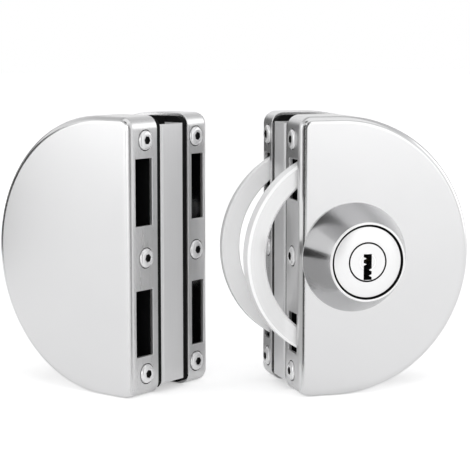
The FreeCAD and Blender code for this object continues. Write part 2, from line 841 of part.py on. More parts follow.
# Key cylinder: the head of the housing sits in the bezel, its body passes through the cover to the nut.
def make_bezel():
    body = new_body("cylinder_bezel", AXIS_FRONT)
    base = FRONT.depth
    profile = new_sketch(body, "XZ_Plane")
    corners = [
        (body_hole, base),
        (bezel_base, base),
        (bezel_base, base + 0.8),
        (bezel_rim, bezel_top),
        (rim_inside, bezel_top),
        (rim_inside, shoulder),
        (body_hole, shoulder),
    ]
    draw_outline(profile, corners)
    turned = revolve(body, profile)
    rim = edges_where(
        turned,
        lambda edge: edge.BoundBox.ZMin > bezel_top.number - 1e-4
        and edge.BoundBox.XLength > rim_inside.number * 2 + 0.1,
    )
    round_edges(body, turned, rim, size("rim_round"))
    return body


def make_housing():
    body = new_body("cylinder_housing", AXIS_FRONT)
    profile = new_sketch(body, "XZ_Plane")
    corners = [
        (plug_bore, housing_back),
        (skirt_inside, housing_back),
        (skirt_inside, skirt_start),
        (cylinder_body, skirt_start),
        (cylinder_body, shoulder),
        (cylinder_head, shoulder),
        (cylinder_head, cylinder_face - 0.3),
        (cylinder_head - 0.3, cylinder_face),
        (plug_bore, cylinder_face),
    ]
    draw_outline(profile, corners)
    revolve(body, profile)
    bores = new_sketch(body, "YZ_Plane")
    for place in pin_places():
        draw_circle(bores, 0, place, size("pin_radius") + size("running_gap"))
    pocket(body, bores, pin_bore_end, True)
    return body


def pin_places():
    """Depths of the pins along the cylinder, from the face inwards."""
    first = cylinder_face - size("pin_pitch") * 1.1
    return [first - size("pin_pitch") * step for step in range(int(size("pin_count").number))]


def make_locknut():
    body = new_body("cylinder_locknut", AXIS_FRONT)
    outline = new_sketch(body, offset=FRONT.inside)
    corner = (cylinder_body + size("nut_wall")) * (1 / math.cos(math.radians(30)))
    angles = [math.radians(60 * step + 30) for step in range(6)]
    draw_outline(outline, [(corner * math.cos(a), corner * math.sin(a)) for a in angles])
    draw_circle(outline, 0, 0, cylinder_body + size("screw_play"))
    pad(body, outline, size("nut_thickness"), reverse=True)
    return body


def make_plug():
    """The keyway is a dimple key's: a tall slot below the middle, with wards from both sides."""
    body = new_body("cylinder_plug", AXIS_FRONT)
    outline = new_sketch(body, offset=plug_back)
    draw_circle(outline, 0, 0, size("plug_radius"))
    plug = pad(body, outline, cylinder_face - plug_back)
    keyway = new_sketch(body, offset=cylinder_face)
    wide = size("keyway_width") * 0.5
    low = -(size("keyway_height") * 0.5 + size("keyway_drop"))
    high = size("keyway_height") * 0.5 - size("keyway_drop")
    ward = size("keyway_ward")
    step = size("keyway_height") * (1.0 / 9)
    corners = [
        (-wide, low),
        (wide, low),
        (wide, low + step),
        (wide - ward, low + step * 1.5),
        (wide, low + step * 2),
        (wide, low + step * 3),
        (wide - ward, low + step * 3.5),
        (wide, low + step * 4),
        (wide, high),
        (-wide, high),
        (-wide, high - step),
        (-wide + ward, high - step * 1.5),
        (-wide, high - step * 2),
        (-wide, high - step * 3),
        (-wide + ward, high - step * 3.5),
        (-wide, high - step * 4),
    ]
    draw_outline(keyway, corners)
    pocket(body, keyway, cylinder_face - plug_back, False)
    bores = new_sketch(body, "YZ_Plane")
    for place in pin_places():
        draw_circle(bores, 0, place, size("pin_radius") + size("running_gap"))
    pocket(body, bores, size("plug_radius") + 1, True)
    return plug


def make_tailpiece():
    """A disc on the back of the plug with a tongue that fits the spindle's slot."""
    body = new_body("plug_tailpiece", AXIS_FRONT)
    disc = new_sketch(body, offset=plug_back)
    draw_circle(disc, 0, 0, skirt_inside - size("tail_gap"))
    pad(body, disc, size("tail_thickness"), reverse=True)
    tongue = new_sketch(body, offset=plug_back)
    half_thick = size("tongue_thickness") * 0.5
    half_wide = size("tongue_width") * 0.5
    draw_rectangle(tongue, -half_thick, half_thick, -half_wide, half_wide)
    pad(body, tongue, size("tail_thickness") + size("tongue_reach"), reverse=True)
    return body


def make_pin_row(label, start, length):
    """Pins or springs of one row, each along +X from the keyway."""
    group = []
    for step, place in enumerate(pin_places(), start=1):
        body = doc.addObject("PartDesign::Body", "%s_%d" % (label, step))
        body.Placement = AXIS_FRONT
        outline = new_sketch(body, "YZ_Plane", start)
        draw_circle(outline, 0, place, size("pin_radius"))
        pad(body, outline, length)
        group.append(body)
    compound = doc.addObject("Part::Compound", label)
    compound.Links = group
    compound.Label = label
    nodes.append(compound)


make_bezel()
make_housing()
make_locknut()
make_plug()
make_tailpiece()
keyway_side = size("keyway_width") * 0.5
pin_end = size("plug_radius") - size("end_gap") * 0.5
make_pin_row("key_pins", keyway_side, pin_end - keyway_side)
make_pin_row("driver_pins", driver_start, size("driver_length"))
make_pin_row("pin_springs", spring_start, pin_bore_end - spring_start)


# Thumb turn on the rear: a rose on the cover and a teardrop grip on the spindle's square.
def make_rose():
    body = new_body("thumb_rosette", AXIS_REAR)
    base = REAR.depth
    bore = shank_radius + size("shank_gap")
    profile = new_sketch(body, "XZ_Plane")
    corners = [
        (bore, base),
        (size("rose_radius"), base),
        (size("rose_radius"), base + 1.5),
        (size("rose_radius") - 3.5, rose_top),
        (bore, rose_top),
    ]
    draw_outline(profile, corners)
    revolve(body, profile)
    return body


def make_thumb_turn():
    body = new_body("thumb_turn", AXIS_REAR)
    shank_start = REAR.groove_end + size("end_gap")
    shank = new_sketch(body, offset=shank_start)
    draw_circle(shank, 0, 0, shank_radius)
    pad(body, shank, turn_seat - shank_start)
    boss = new_sketch(body, offset=turn_seat)
    draw_circle(boss, 0, 0, turn_boss)
    head = pad(body, boss, size("turn_height"))
    grip = new_sketch(body, offset=turn_seat)
    reach = size("turn_reach")
    tip = size("turn_tip")
    draw_outline(grip, [(-turn_boss, 0), (-tip, -reach), (tip, -reach), (turn_boss, 0)])
    head = pad(body, grip, size("turn_height"))
    top = (turn_seat + size("turn_height")).number
    round_edges(body, head, level_edges(head, top), size("turn_round"))
    hole = new_sketch(body, offset=shank_start)
    half_hole = half_square + size("square_gap")
    draw_rectangle(hole, -half_hole, half_hole, -half_hole, half_hole)
    pocket(body, hole, spindle_rear - shank_start + size("end_gap"), True)
    thread = new_sketch(body, "YZ_Plane")
    draw_circle(thread, 0, turn_seat + size("grub_height"), size("grub_radius") + size("screw_play"))
    pocket(body, thread, turn_boss + 1, True)
    return body


def make_grub():
    body = new_body("thumb_grub_screw", AXIS_REAR)
    outline = new_sketch(body, "YZ_Plane", half_square)
    draw_circle(outline, 0, turn_seat + size("grub_height"), size("grub_radius"))
    pad(body, outline, size("grub_length"))
    return body


make_rose()
make_thumb_turn()
make_grub()


def check_and_export():
    doc.recompute()
    for thing in doc.Objects:
        if "Invalid" in thing.State or "Error" in thing.State:
            raise RuntimeError("%s is %s" % (thing.Name, thing.State))
    os.makedirs("parts", exist_ok=True)
    for node in nodes:
        shape = node.Shape
        if shape.isNull() or not shape.isValid() or not shape.Solids:
            raise RuntimeError(node.Label + " has no valid solid")
    for node in nodes:
        node.Shape.exportStep("parts/%s.step" % node.Label)
        box = node.Shape.BoundBox
        print("%-28s %2d solids %10.1f mm3  x %.1f..%.1f y %.1f..%.1f z %.1f..%.1f" % (
            node.Label, len(node.Shape.Solids), node.Shape.Volume,
            box.XMin, box.XMax, box.YMin, box.YMax, box.ZMin, box.ZMax))


check_and_export()
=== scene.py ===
import math

import bmesh
import bpy
from mathutils import Matrix, Vector


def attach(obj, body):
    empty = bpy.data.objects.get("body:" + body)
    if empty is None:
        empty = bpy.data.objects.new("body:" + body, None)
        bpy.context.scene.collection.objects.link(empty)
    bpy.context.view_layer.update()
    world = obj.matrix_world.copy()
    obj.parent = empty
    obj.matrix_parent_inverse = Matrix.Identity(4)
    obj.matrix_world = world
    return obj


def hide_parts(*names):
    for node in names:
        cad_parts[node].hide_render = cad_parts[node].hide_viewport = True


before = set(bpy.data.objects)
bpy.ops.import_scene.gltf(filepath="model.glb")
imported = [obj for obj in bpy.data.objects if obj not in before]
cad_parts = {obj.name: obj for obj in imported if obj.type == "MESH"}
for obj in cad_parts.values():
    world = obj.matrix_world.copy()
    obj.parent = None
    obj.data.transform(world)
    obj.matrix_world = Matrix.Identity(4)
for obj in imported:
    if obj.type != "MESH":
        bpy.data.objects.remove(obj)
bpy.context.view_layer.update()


# The studio: the lock stands on a plain white table in a bright room. The camera looks at it from
# the left and a little above, through a long lens, and is turned a little past its middle.
# Places and sizes here are in metres, and angles in degrees.
AIM = Vector((-0.001, 0, 0))
LENS_IN_PIXELS, FRAME_IN_PIXELS = 1636.6, 470
CAMERA_DISTANCE, CAMERA_PLACE, CAMERA_TURN = 0.65755, (-18.44, 8), (-16.893, 7.467)
TABLE_HEIGHT, TABLE_GLOW, TABLE_SHINE = -0.055, 0.45, 0.12
CARD_GREY = 0.02


def look_direction(yaw, pitch):
    """The unit vector from the object towards a camera, with both angles in degrees."""
    a, b = math.radians(yaw), math.radians(pitch)
    return Vector((math.sin(a) * math.cos(b), -math.cos(a) * math.cos(b), math.sin(b)))


def add_node(tree, kind, values=None):
    """A new node of a node tree, with these values on its sockets."""
    node = tree.nodes.new(kind)
    for socket, value in (values or {}).items():
        node.inputs[socket].default_value = value
    return node


def link_up(tree, *joins):
    """Links nodes of a node tree. Each join is a node, its output, another node and its input."""
    for source, output, target, entry in joins:
        tree.links.new(source.outputs[output], target.inputs[entry])


camera_data = bpy.data.cameras.new("photo_camera")
camera_data.sensor_width = 36
camera_data.lens = LENS_IN_PIXELS * camera_data.sensor_width / FRAME_IN_PIXELS
camera_data.clip_start = 0.05
camera_data.clip_end = 20
camera = bpy.data.objects.new("photo_camera", camera_data)
bpy.context.scene.collection.objects.link(camera)
heading = math.radians(CAMERA_TURN[0])
right = Vector((math.cos(heading), math.sin(heading), 0))
back = look_direction(*CAMERA_TURN)
stand = AIM + CAMERA_DISTANCE * look_direction(*CAMERA_PLACE)
axes = Matrix((right, back.cross(right), back)).transposed().to_4x4()
camera.matrix_world = Matrix.Translation(stand) @ axes
bpy.context.scene.camera = camera


def stage_sheet(name, size, place, tilt, colour, glow):
    """A flat sheet of the studio, such as the table top or a card beside the camera."""
    sheet = bmesh.new()
    bmesh.ops.create_grid(sheet, x_segments=1, y_segments=1, size=0.5)
    bmesh.ops.scale(sheet, vec=(size[0], size[1], 1), verts=sheet.verts)
    data = bpy.data.meshes.new(name)
    sheet.to_mesh(data)
    sheet.free()
    paint = bpy.data.materials.new(name + "_paint")
    paint.use_nodes = True
    shader = paint.node_tree.nodes["Principled BSDF"]
    shader.inputs["Base Color"].default_value = (colour, colour, colour, 1)
    shader.inputs["Roughness"].default_value = 0.9
    shader.inputs["Emission Color"].default_value = (1, 1, 1, 1)
    shader.inputs["Emission Strength"].default_value = glow
    data.materials.append(paint)
    placed = bpy.data.objects.new(name, data)
    placed.location = place
    placed.rotation_euler = [math.radians(angle) for angle in tilt]
    bpy.context.scene.collection.objects.link(placed)
    return placed


# The table is white in the picture itself, and less bright where the metal mirrors it.
table = stage_sheet("pale_table", (8, 8), (0, 0, TABLE_HEIGHT), (0, 0, 0), 0.9, 0.0)
table_tree = table.data.materials[0].node_tree
glow = add_node(table_tree, "ShaderNodeMath", {1: TABLE_GLOW - TABLE_SHINE, 2: TABLE_SHINE})
glow.operation = "MULTIPLY_ADD"
on_camera = add_node(table_tree, "ShaderNodeLightPath")
link_up(
    table_tree,
    (on_camera, "Is Camera Ray", glow, 0),
    (glow, "Value", table_tree.nodes["Principled BSDF"], "Emission Strength"),
)

# Cards that show only as reflections in the metal: the dark ones draw its dark edges and bands, as
# the things round a real lock do, and the pale ones lighten the bezel's cone and the strips.
for card_name, size, place, tilt, shine in (
    ("strip_card", (0.28, 0.30), (-0.13, 0.37, 0.0), (90, 0, 10), 0.0),
    ("fold_card", (0.27, 0.30), (-0.38, 0.24, 0.0), (90, 0, 72), 0.0),
    ("floor_card", (0.11, 0.30), (-0.070, 0.19, -0.054), (0, 0, 18), 0.18),
    ("bezel_upper_card", (0.015, 0.0155), (-0.0085, -0.0295, 0.0141), (90, 0, 65), 0.90),
    ("bezel_dark_card", (0.015, 0.0055), (-0.0085, -0.0295, 0.0034), (90, 0, 65), 0.0),
    ("bezel_lower_card", (0.015, 0.0430), (-0.0085, -0.0295, -0.0211), (90, 0, 65), 0.42),
    ("patch_card", (0.42, 0.30), (-0.37, -0.43, 0.83), (34, 0, -41), 0.0),
    ("rim_card", (0.55, 0.50), (0.66, 0.72, 0.15), (90, 0, -42), 0.0),
    ("corner_card", (0.054, 0.16), (-0.0358, -0.065, 0.0), (90, 0, -41.6), 0.0),
    ("camera_card", (0.30, 0.9), (-0.03, -0.70, 0.1), (90, 0, -2), 0.0),
):
    card = stage_sheet(card_name, size, place, tilt, CARD_GREY, shine)
    card.visible_camera = False
    card.visible_shadow = False
    card.visible_diffuse = False


# Studio light: a bright room that is darker overhead, so that bends in polished steel show a thin
# dark line, and soft boxes that whiten the faces turned to them. Behind the lock all is white.
room = bpy.data.worlds.new("studio_room")
bpy.context.scene.world = room
room.use_nodes = True
room_tree = room.node_tree
room_tree.nodes.clear()
direction = add_node(room_tree, "ShaderNodeTexCoord")
parts_of_direction = add_node(room_tree, "ShaderNodeSeparateXYZ")
height_ramp = add_node(room_tree, "ShaderNodeValToRGB")
low_stop, top_stop = height_ramp.color_ramp.elements
low_stop.position, low_stop.color = 0.0, (0.86, 0.86, 0.86, 1)
top_stop.position, top_stop.color = 0.9, (0.42, 0.42, 0.425, 1)
height_ramp.color_ramp.elements.new(0.35).color = (0.84, 0.84, 0.845, 1)
room_light = add_node(room_tree, "ShaderNodeBackground")
white_light = add_node(room_tree, "ShaderNodeBackground", {"Color": (1, 1, 1, 1)})
seen = add_node(room_tree, "ShaderNodeLightPath")
choice = add_node(room_tree, "ShaderNodeMixShader")
room_output = add_node(room_tree, "ShaderNodeOutputWorld")
link_up(
    room_tree,
    (direction, "Generated", parts_of_direction, "Vector"),
    (parts_of_direction, "Z", height_ramp, "Fac"),
    (height_ramp, "Color", room_light, "Color"),
    (seen, "Is Camera Ray", choice, "Fac"),
    (room_light, "Background", choice, 1),
    (white_light, "Background", choice, 2),
    (choice, "Shader", room_output, "Surface"),
)
for box_name, place, width, tall, power in (
    ("left_box", (-1.6, -0.3, 0.35), 1.3, 1.3, 4),
    ("right_box", (1.7, 0.1, 0.4), 1.2, 1.3, 4),
    ("front_right_box", (0.75, -1.7, 0.5), 1.1, 1.2, 2.4),
    ("front_left_box", (-0.8, -1.6, 0.45), 1.0, 1.0, 4.5),
    ("top_box", (0.2, -0.4, 2.0), 2.4, 2.4, 9),
):
    lamp = bpy.data.lights.new(box_name, "AREA")
    lamp.shape = "RECTANGLE"
    lamp.size = width
    lamp.size_y = tall
    lamp.energy = power
    lamp_object = bpy.data.objects.new(box_name, lamp)
    lamp_object.location = place
    lamp_object.rotation_euler = (Vector(place) - AIM).to_track_quat("Z", "Y").to_euler()
    bpy.context.scene.collection.objects.link(lamp_object)
bpy.context.scene.view_settings.view_transform = "Standard"


# Edge channels: folded aluminium sheet over the edge of each glass leaf, its web level with the
# strips. It is slid on before the casings. Satin metal with faint lines along the fold.
MM = 0.001
CHANNEL_LEG, CHANNEL_OUTSIDE, CHANNEL_INSIDE, CHANNEL_WEB = 9.0, 6.8, 6.0, 1.0
CHANNEL_BEND, CHANNEL_HALF_HEIGHT = 1.3, 51.4
LOCK_PLACE, KEEPER_PLACE, KEEPER_TURN = (-1.0, 0, 0), (-43.7047, 4.1, 0), 125.6
NUMBER, COLOUR, ARROW = "NodeSocketFloat", "NodeSocketColor", "NodeSocketVector"


def new_marks(
    label, fineness=1000.0, dark=(0.5, 0.5, 0.5, 1), light=(0.7, 0.7, 0.7, 1), rough=(0.2, 0.4)
):
    """An empty node group for the marks of a finish, with its first and its last node."""
    group = bpy.data.node_groups.new(label, "ShaderNodeTree")
    for name, kind, value in (
        ("Vector", ARROW, (0, 0, 0)), ("Fineness", NUMBER, fineness),
        ("Dark", COLOUR, dark), ("Light", COLOUR, light),
        ("Roughness Low", NUMBER, rough[0]), ("Roughness High", NUMBER, rough[1]),
    ):
        socket = group.interface.new_socket(name, in_out="INPUT", socket_type=kind)
        socket.default_value = value
    for name, kind in (("Color", COLOUR), ("Roughness", NUMBER), ("Height", NUMBER)):
        group.interface.new_socket(name, in_out="OUTPUT", socket_type=kind)
    return group, group.nodes.new("NodeGroupInput"), group.nodes.new("NodeGroupOutput")


def end_marks(group, start, end, marks, height):
    """Ends a group: its marks run from the dark to the light colour, and from smooth to rough."""
    colour = add_node(group, "ShaderNodeMix")
    colour.data_type = "RGBA"
    rough = add_node(group, "ShaderNodeMapRange")
    group.links.new(marks, colour.inputs["Factor"])
    group.links.new(marks, rough.inputs["Value"])
    group.links.new(height, end.inputs["Height"])
    link_up(
        group,
        (start, "Dark", colour, "A"),
        (start, "Light", colour, "B"),
        (start, "Roughness Low", rough, "To Min"),
        (start, "Roughness High", rough, "To Max"),
        (colour, "Result", end, "Color"),
        (rough, "Result", end, "Roughness"),
    )


# Drawn lines: long thin marks that rolling and brushing leave in sheet metal, and cloudy patches.
drawn_lines, lines_in, lines_out = new_marks("drawn_lines")
line_noise = add_node(drawn_lines, "ShaderNodeTexNoise", {"Detail": 3, "Roughness": 0.6})
cloud_noise = add_node(drawn_lines, "ShaderNodeTexNoise", {"Scale": 25, "Detail": 2})
cloud_share = add_node(drawn_lines, "ShaderNodeMath", {1: 0.4})
cloud_share.operation = "MULTIPLY"
blended = add_node(drawn_lines, "ShaderNodeMath", {1: 0.6})
blended.operation = "MULTIPLY_ADD"
link_up(
    drawn_lines,
    (lines_in, "Vector", line_noise, "Vector"),
    (lines_in, "Fineness", line_noise, "Scale"),
    (lines_in, "Vector", cloud_noise, "Vector"),
    (cloud_noise, "Fac", cloud_share, 0),
    (line_noise, "Fac", blended, 0),
    (cloud_share, "Value", blended, 2),
)
end_marks(drawn_lines, lines_in, lines_out, blended.outputs["Value"], line_noise.outputs["Fac"])


def finish(name, group, stretch=(1, 1, 1), middle=(0, 0, 0), metallic=1.0, relief=0.02, **values):
    """A finish with the marks of one group, scaled by stretch about the middle along each axis."""
    material = bpy.data.materials.new(name)
    material.use_nodes = True
    tree = material.node_tree
    shader = tree.nodes["Principled BSDF"]
    shader.inputs["Metallic"].default_value = metallic
    where = add_node(tree, "ShaderNodeTexCoord")
    shift = [-place * scale for place, scale in zip(middle, stretch)]
    mapping = add_node(tree, "ShaderNodeMapping", {"Scale": stretch, "Location": shift})
    marks = add_node(tree, "ShaderNodeGroup")
    marks.node_tree = group
    for label, value in values.items():
        marks.inputs[label.replace("_", " ").title()].default_value = value
    bump = add_node(tree, "ShaderNodeBump", {"Strength": relief, "Distance": 0.1 * MM})
    link_up(
        tree,
        (where, "Object", mapping, "Vector"),
        (mapping, "Vector", marks, "Vector"),
        (marks, "Color", shader, "Base Color"),
        (marks, "Roughness", shader, "Roughness"),
        (marks, "Height", bump, "Height"),
        (bump, "Normal", shader, "Normal"),
    )
    return material


def make_piece(name, mesh, body, materials, nodes, sharp=30):
    """Ends a piece drawn in millimetres: its shading, finishes, body and CAD nodes."""
    bmesh.ops.scale(mesh, vec=(MM, MM, MM), verts=mesh.verts)
    bmesh.ops.recalc_face_normals(mesh, faces=mesh.faces)
    data = bpy.data.meshes.new(name)
    mesh.to_mesh(data)
    mesh.free()
    data.shade_smooth()
    data.set_sharp_from_angle(angle=math.radians(sharp))
    for material in materials:
        data.materials.append(material)
    piece = bpy.data.objects.new(name, data)
    bpy.context.scene.collection.objects.link(piece)
    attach(piece, body)
    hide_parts(*nodes)
    return piece


def even_shading(piece):
    """Lets flat faces keep their flat shading beside a rounded edge."""
    weighted = piece.modifiers.new("even_shading", "WEIGHTED_NORMAL")
    weighted.keep_sharp = True
    weighted.mode = "FACE_AREA"
    weighted.weight = 100


def verts_in(geom):
    """The corners among what an operator made."""
    return [v for v in geom if isinstance(v, bmesh.types.BMVert)]


def round_off(mesh, geom, width, steps, affect="EDGES"):
    """Rounds edges, or the corners of a flat outline."""
    bmesh.ops.bevel(
        mesh, geom=geom, offset=width, offset_type="OFFSET", affect=affect, segments=steps,
        profile=0.5, material=-1,
    )


def raise_faces(mesh, faces, height):
    """Gives flat faces a thickness upwards, with walls round every edge of theirs."""
    lifted = bmesh.ops.extrude_face_region(mesh, geom=faces)["geom"]
    bmesh.ops.translate(mesh, vec=(0, 0, height), verts=verts_in(lifted))


# Each half has axes of its own: X from its strips into its glass, Y across the glass, Z up.
LOCK_HALF = Matrix.Translation(LOCK_PLACE)
KEEPER_HALF = Matrix.Translation(KEEPER_PLACE) @ Matrix.Rotation(math.radians(KEEPER_TURN), 4, "Z")


def draw_channel():
    """A folded channel: the section is drawn, its outer bends rounded, and it is pulled up."""
    mesh = bmesh.new()
    section = [
        (CHANNEL_LEG, -CHANNEL_OUTSIDE), (0, -CHANNEL_OUTSIDE),
        (0, CHANNEL_OUTSIDE), (CHANNEL_LEG, CHANNEL_OUTSIDE),
        (CHANNEL_LEG, CHANNEL_INSIDE), (CHANNEL_WEB, CHANNEL_INSIDE),
        (CHANNEL_WEB, -CHANNEL_INSIDE), (CHANNEL_LEG, -CHANNEL_INSIDE),
    ]
    corners = [mesh.verts.new((x, y, -CHANNEL_HALF_HEIGHT)) for x, y in section]
    mesh.faces.new(corners)
    round_off(mesh, corners[1:3], CHANNEL_BEND, 6, affect="VERTICES")
    raise_faces(mesh, mesh.faces[:], 2 * CHANNEL_HALF_HEIGHT)
    return mesh


satin_channel = finish(
    "satin_channel", drawn_lines, stretch=(1, 1, 0.02), metallic=0.35, relief=0.02,
    fineness=2500.0, dark=(0.70, 0.70, 0.71, 1), light=(0.80, 0.80, 0.80, 1),
    roughness_low=0.28, roughness_high=0.40,
)
for half_name, half in (("lock", LOCK_HALF), ("keeper", KEEPER_HALF)):
    channel = draw_channel()
    bmesh.ops.transform(channel, matrix=half, verts=channel.verts)
    node = half_name + "_edge_channel"
    folded = make_piece(
        node + "_folded", channel, "frame", [satin_channel], [node], sharp=40
    )
    even_shading(folded)


# Gaskets: black rubber pads between the glass and the clamp plates, cut from sheet, with a dull
# slightly grainy skin. They are the dark lines on both sides of the channel.
rubber_skin, skin_in, skin_out = new_marks(
    "rubber_skin", fineness=3000.0, dark=(0.004, 0.004, 0.004, 1), light=(0.014, 0.014, 0.014, 1),
    rough=(0.6, 0.85),
)
skin_noise = add_node(rubber_skin, "ShaderNodeTexNoise", {"Detail": 4})
link_up(
    rubber_skin,
    (skin_in, "Vector", skin_noise, "Vector"),
    (skin_in, "Fineness", skin_noise, "Scale"),
)
end_marks(rubber_skin, skin_in, skin_out, skin_noise.outputs["Fac"], skin_noise.outputs["Fac"])


def finish_node(material, *names):
    """Gives CAD nodes whose shape is right a finish of their own."""
    for name in names:
        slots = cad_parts[name].data.materials
        slots.clear()
        slots.append(material)


black_rubber = finish("black_rubber", rubber_skin, metallic=0.0, relief=0.15)
rubber_shader = black_rubber.node_tree.nodes["Principled BSDF"]
rubber_shader.inputs["Specular IOR Level"].default_value = 0.06
finish_node(
    black_rubber, "lock_front_gasket", "lock_rear_gasket", "keeper_front_gasket",
    "keeper_rear_gasket",
)


# Clamp plates and cores: steel plates with tapped blocks, and cast spacers in the notch of the
# glass. Both are near black, painted shade that makes the slots look black, and four screws draw
# them together.
painted_shade_steel = finish(
    "painted_shade_steel", rubber_skin, metallic=0.85, relief=0.15,
    fineness=1400.0, dark=(0.008, 0.008, 0.009, 1), light=(0.022, 0.022, 0.024, 1),
)
finish_node(
    painted_shade_steel, "lock_front_base", "lock_rear_base", "keeper_front_base", "keeper_rear_base",
    "lock_core_block", "keeper_core_block",
)


# Bolt works inside the lock: a steel spindle in two brass bushes, with circlips and stop pins.
# All are turned parts, so their marks run round them, about the bolt axis (here in metres).
BOLT_AXIS = (0.0212, 0, 0)

# Turned rings: fine marks that change with the distance from the axis and the place along it.
turned_rings, rings_in, rings_out = new_marks("turned_rings")
rings_xyz = add_node(turned_rings, "ShaderNodeSeparateXYZ")
rings_flat = add_node(turned_rings, "ShaderNodeCombineXYZ")
rings_radius = add_node(turned_rings, "ShaderNodeVectorMath")
rings_radius.operation = "LENGTH"
rings_place = add_node(turned_rings, "ShaderNodeMath")
rings_place.operation = "ADD"
rings_noise = add_node(turned_rings, "ShaderNodeTexNoise", {"Detail": 3})
rings_noise.noise_dimensions = "1D"
link_up(
    turned_rings,
    (rings_in, "Vector", rings_xyz, "Vector"),
    (rings_xyz, "X", rings_flat, "X"),
    (rings_xyz, "Z", rings_flat, "Z"),
    (rings_flat, "Vector", rings_radius, 0),
    (rings_radius, "Value", rings_place, 0),
    (rings_xyz, "Y", rings_place, 1),
    (rings_place, "Value", rings_noise, "W"),
    (rings_in, "Fineness", rings_noise, "Scale"),
)
end_marks(turned_rings, rings_in, rings_out, rings_noise.outputs["Fac"], rings_noise.outputs["Fac"])

turned_steel = finish(
    "turned_steel", turned_rings, middle=BOLT_AXIS, relief=0.05,
    fineness=4000.0, dark=(0.45, 0.45, 0.46, 1), light=(0.62, 0.62, 0.63, 1),
    roughness_low=0.22, roughness_high=0.36,
)
turned_brass = finish(
    "turned_brass", turned_rings, middle=BOLT_AXIS, relief=0.05,
    fineness=4000.0, dark=(0.62, 0.44, 0.18, 1), light=(0.80, 0.62, 0.30, 1),
    roughness_low=0.2, roughness_high=0.34,
)
finish_node(turned_steel, "spindle", "front_circlip", "rear_circlip", "stop_pins")
finish_node(turned_brass, "front_spindle_bush", "rear_spindle_bush")


# Crescent bolts: two half rings cut from thick steel plate, chamfered all round and chrome plated.
# Each hangs on one arm from a hub on the spindle, so the pair swings through the strips' slots.
RING_OUTSIDE, RING_INSIDE = 41.9047, 34.5047
HUB_RADIUS, HUB_SEAT, HALF_HUB_HOLE = 9.504, 1.8, 4.55
ARM_WIDTH, ARM_END, ARM_SHY = 10.0, 39.68, 0.05
HALF_GAP, AXIS_SETBACK = 9.45, 22.2
# The heights in a casing: its depth, its screws, its slots and the crescent that goes through them.
FRONT = {"depth": 16.8, "setback": 7.0, "slot": (3.1, 12.9), "bolt": (4.8, 12.4), "bevel": 0.9}
REAR = {"depth": 12.9, "setback": 5.0, "slot": (2.3, 9.6), "bolt": (4.0, 8.0), "bevel": 0.4}


def casing_seat(half, side):
    """A casing's own axes: X from the strip inwards, Y along the strip, Z out from the glass."""
    turn = Matrix.Rotation(math.radians(-90 * side), 4, "X")
    return half @ Matrix.Translation((0, side * HALF_GAP, 0)) @ turn


LOCK_FRONT = casing_seat(LOCK_HALF, -1)
LOCK_REAR = casing_seat(LOCK_HALF, 1)
AXIS_FRONT = LOCK_FRONT @ Matrix.Translation((AXIS_SETBACK, 0, 0))
AXIS_REAR = LOCK_REAR @ Matrix.Translation((AXIS_SETBACK, 0, 0))


def same(measure, other):
    """Whether two measures agree to a thousandth of a millimetre."""
    return abs(measure - other) < 1e-3


def edges_at(verts):
    """Every edge that ends at one of these corners, once and in a steady order."""
    return list(dict.fromkeys(e for v in verts for e in v.link_edges))


def faces_at(verts):
    """Every face with one of these corners, once and in a steady order."""
    return list(dict.fromkeys(f for v in verts for f in v.link_faces))


def draw_circle(mesh, radius, steps, height=0, filled=False):
    """A level circle round the Z axis, given by its corners."""
    circle = bmesh.ops.create_circle(mesh, cap_ends=filled, radius=radius, segments=steps)["verts"]
    bmesh.ops.translate(mesh, vec=(0, 0, height), verts=circle)
    return circle


def draw_crescent(side, arm_side):
    """One crescent with its arm and hub, seen from the glass outwards."""
    low, high = side["bolt"]
    bevel = side["bevel"]
    mesh = bmesh.new()
    section = [
        (RING_INSIDE + bevel, low), (RING_OUTSIDE - bevel, low), (RING_OUTSIDE, low + bevel),
        (RING_OUTSIDE, high - bevel), (RING_OUTSIDE - bevel, high), (RING_INSIDE + bevel, high),
        (RING_INSIDE, high - bevel), (RING_INSIDE, low + bevel),
    ]
    end_face = mesh.faces.new([mesh.verts.new((0, radius, height)) for radius, height in section])
    bmesh.ops.spin(
        mesh, geom=[end_face], cent=(0, 0, 0), axis=(0, 0, 1), angle=math.pi, steps=90
    )
    arm = bmesh.ops.create_grid(mesh, x_segments=1, y_segments=1, size=0.5)["verts"]
    bmesh.ops.scale(mesh, vec=(ARM_WIDTH, ARM_END, 1), verts=arm)
    bmesh.ops.translate(mesh, vec=(0, arm_side * ARM_END / 2, low + ARM_SHY), verts=arm)
    raise_faces(mesh, faces_at(arm), high - low - 2 * ARM_SHY)
    rim = draw_circle(mesh, HUB_RADIUS, 48, HUB_SEAT)
    hole = draw_circle(mesh, HALF_HUB_HOLE * math.sqrt(2), 4, HUB_SEAT)
    bmesh.ops.rotate(mesh, cent=(0, 0, 0), matrix=Matrix.Rotation(math.pi / 4, 3, "Z"), verts=hole)
    hub = bmesh.ops.bridge_loops(mesh, edges=edges_at(rim + hole))["faces"]
    raise_faces(mesh, hub, high - HUB_SEAT)
    return mesh
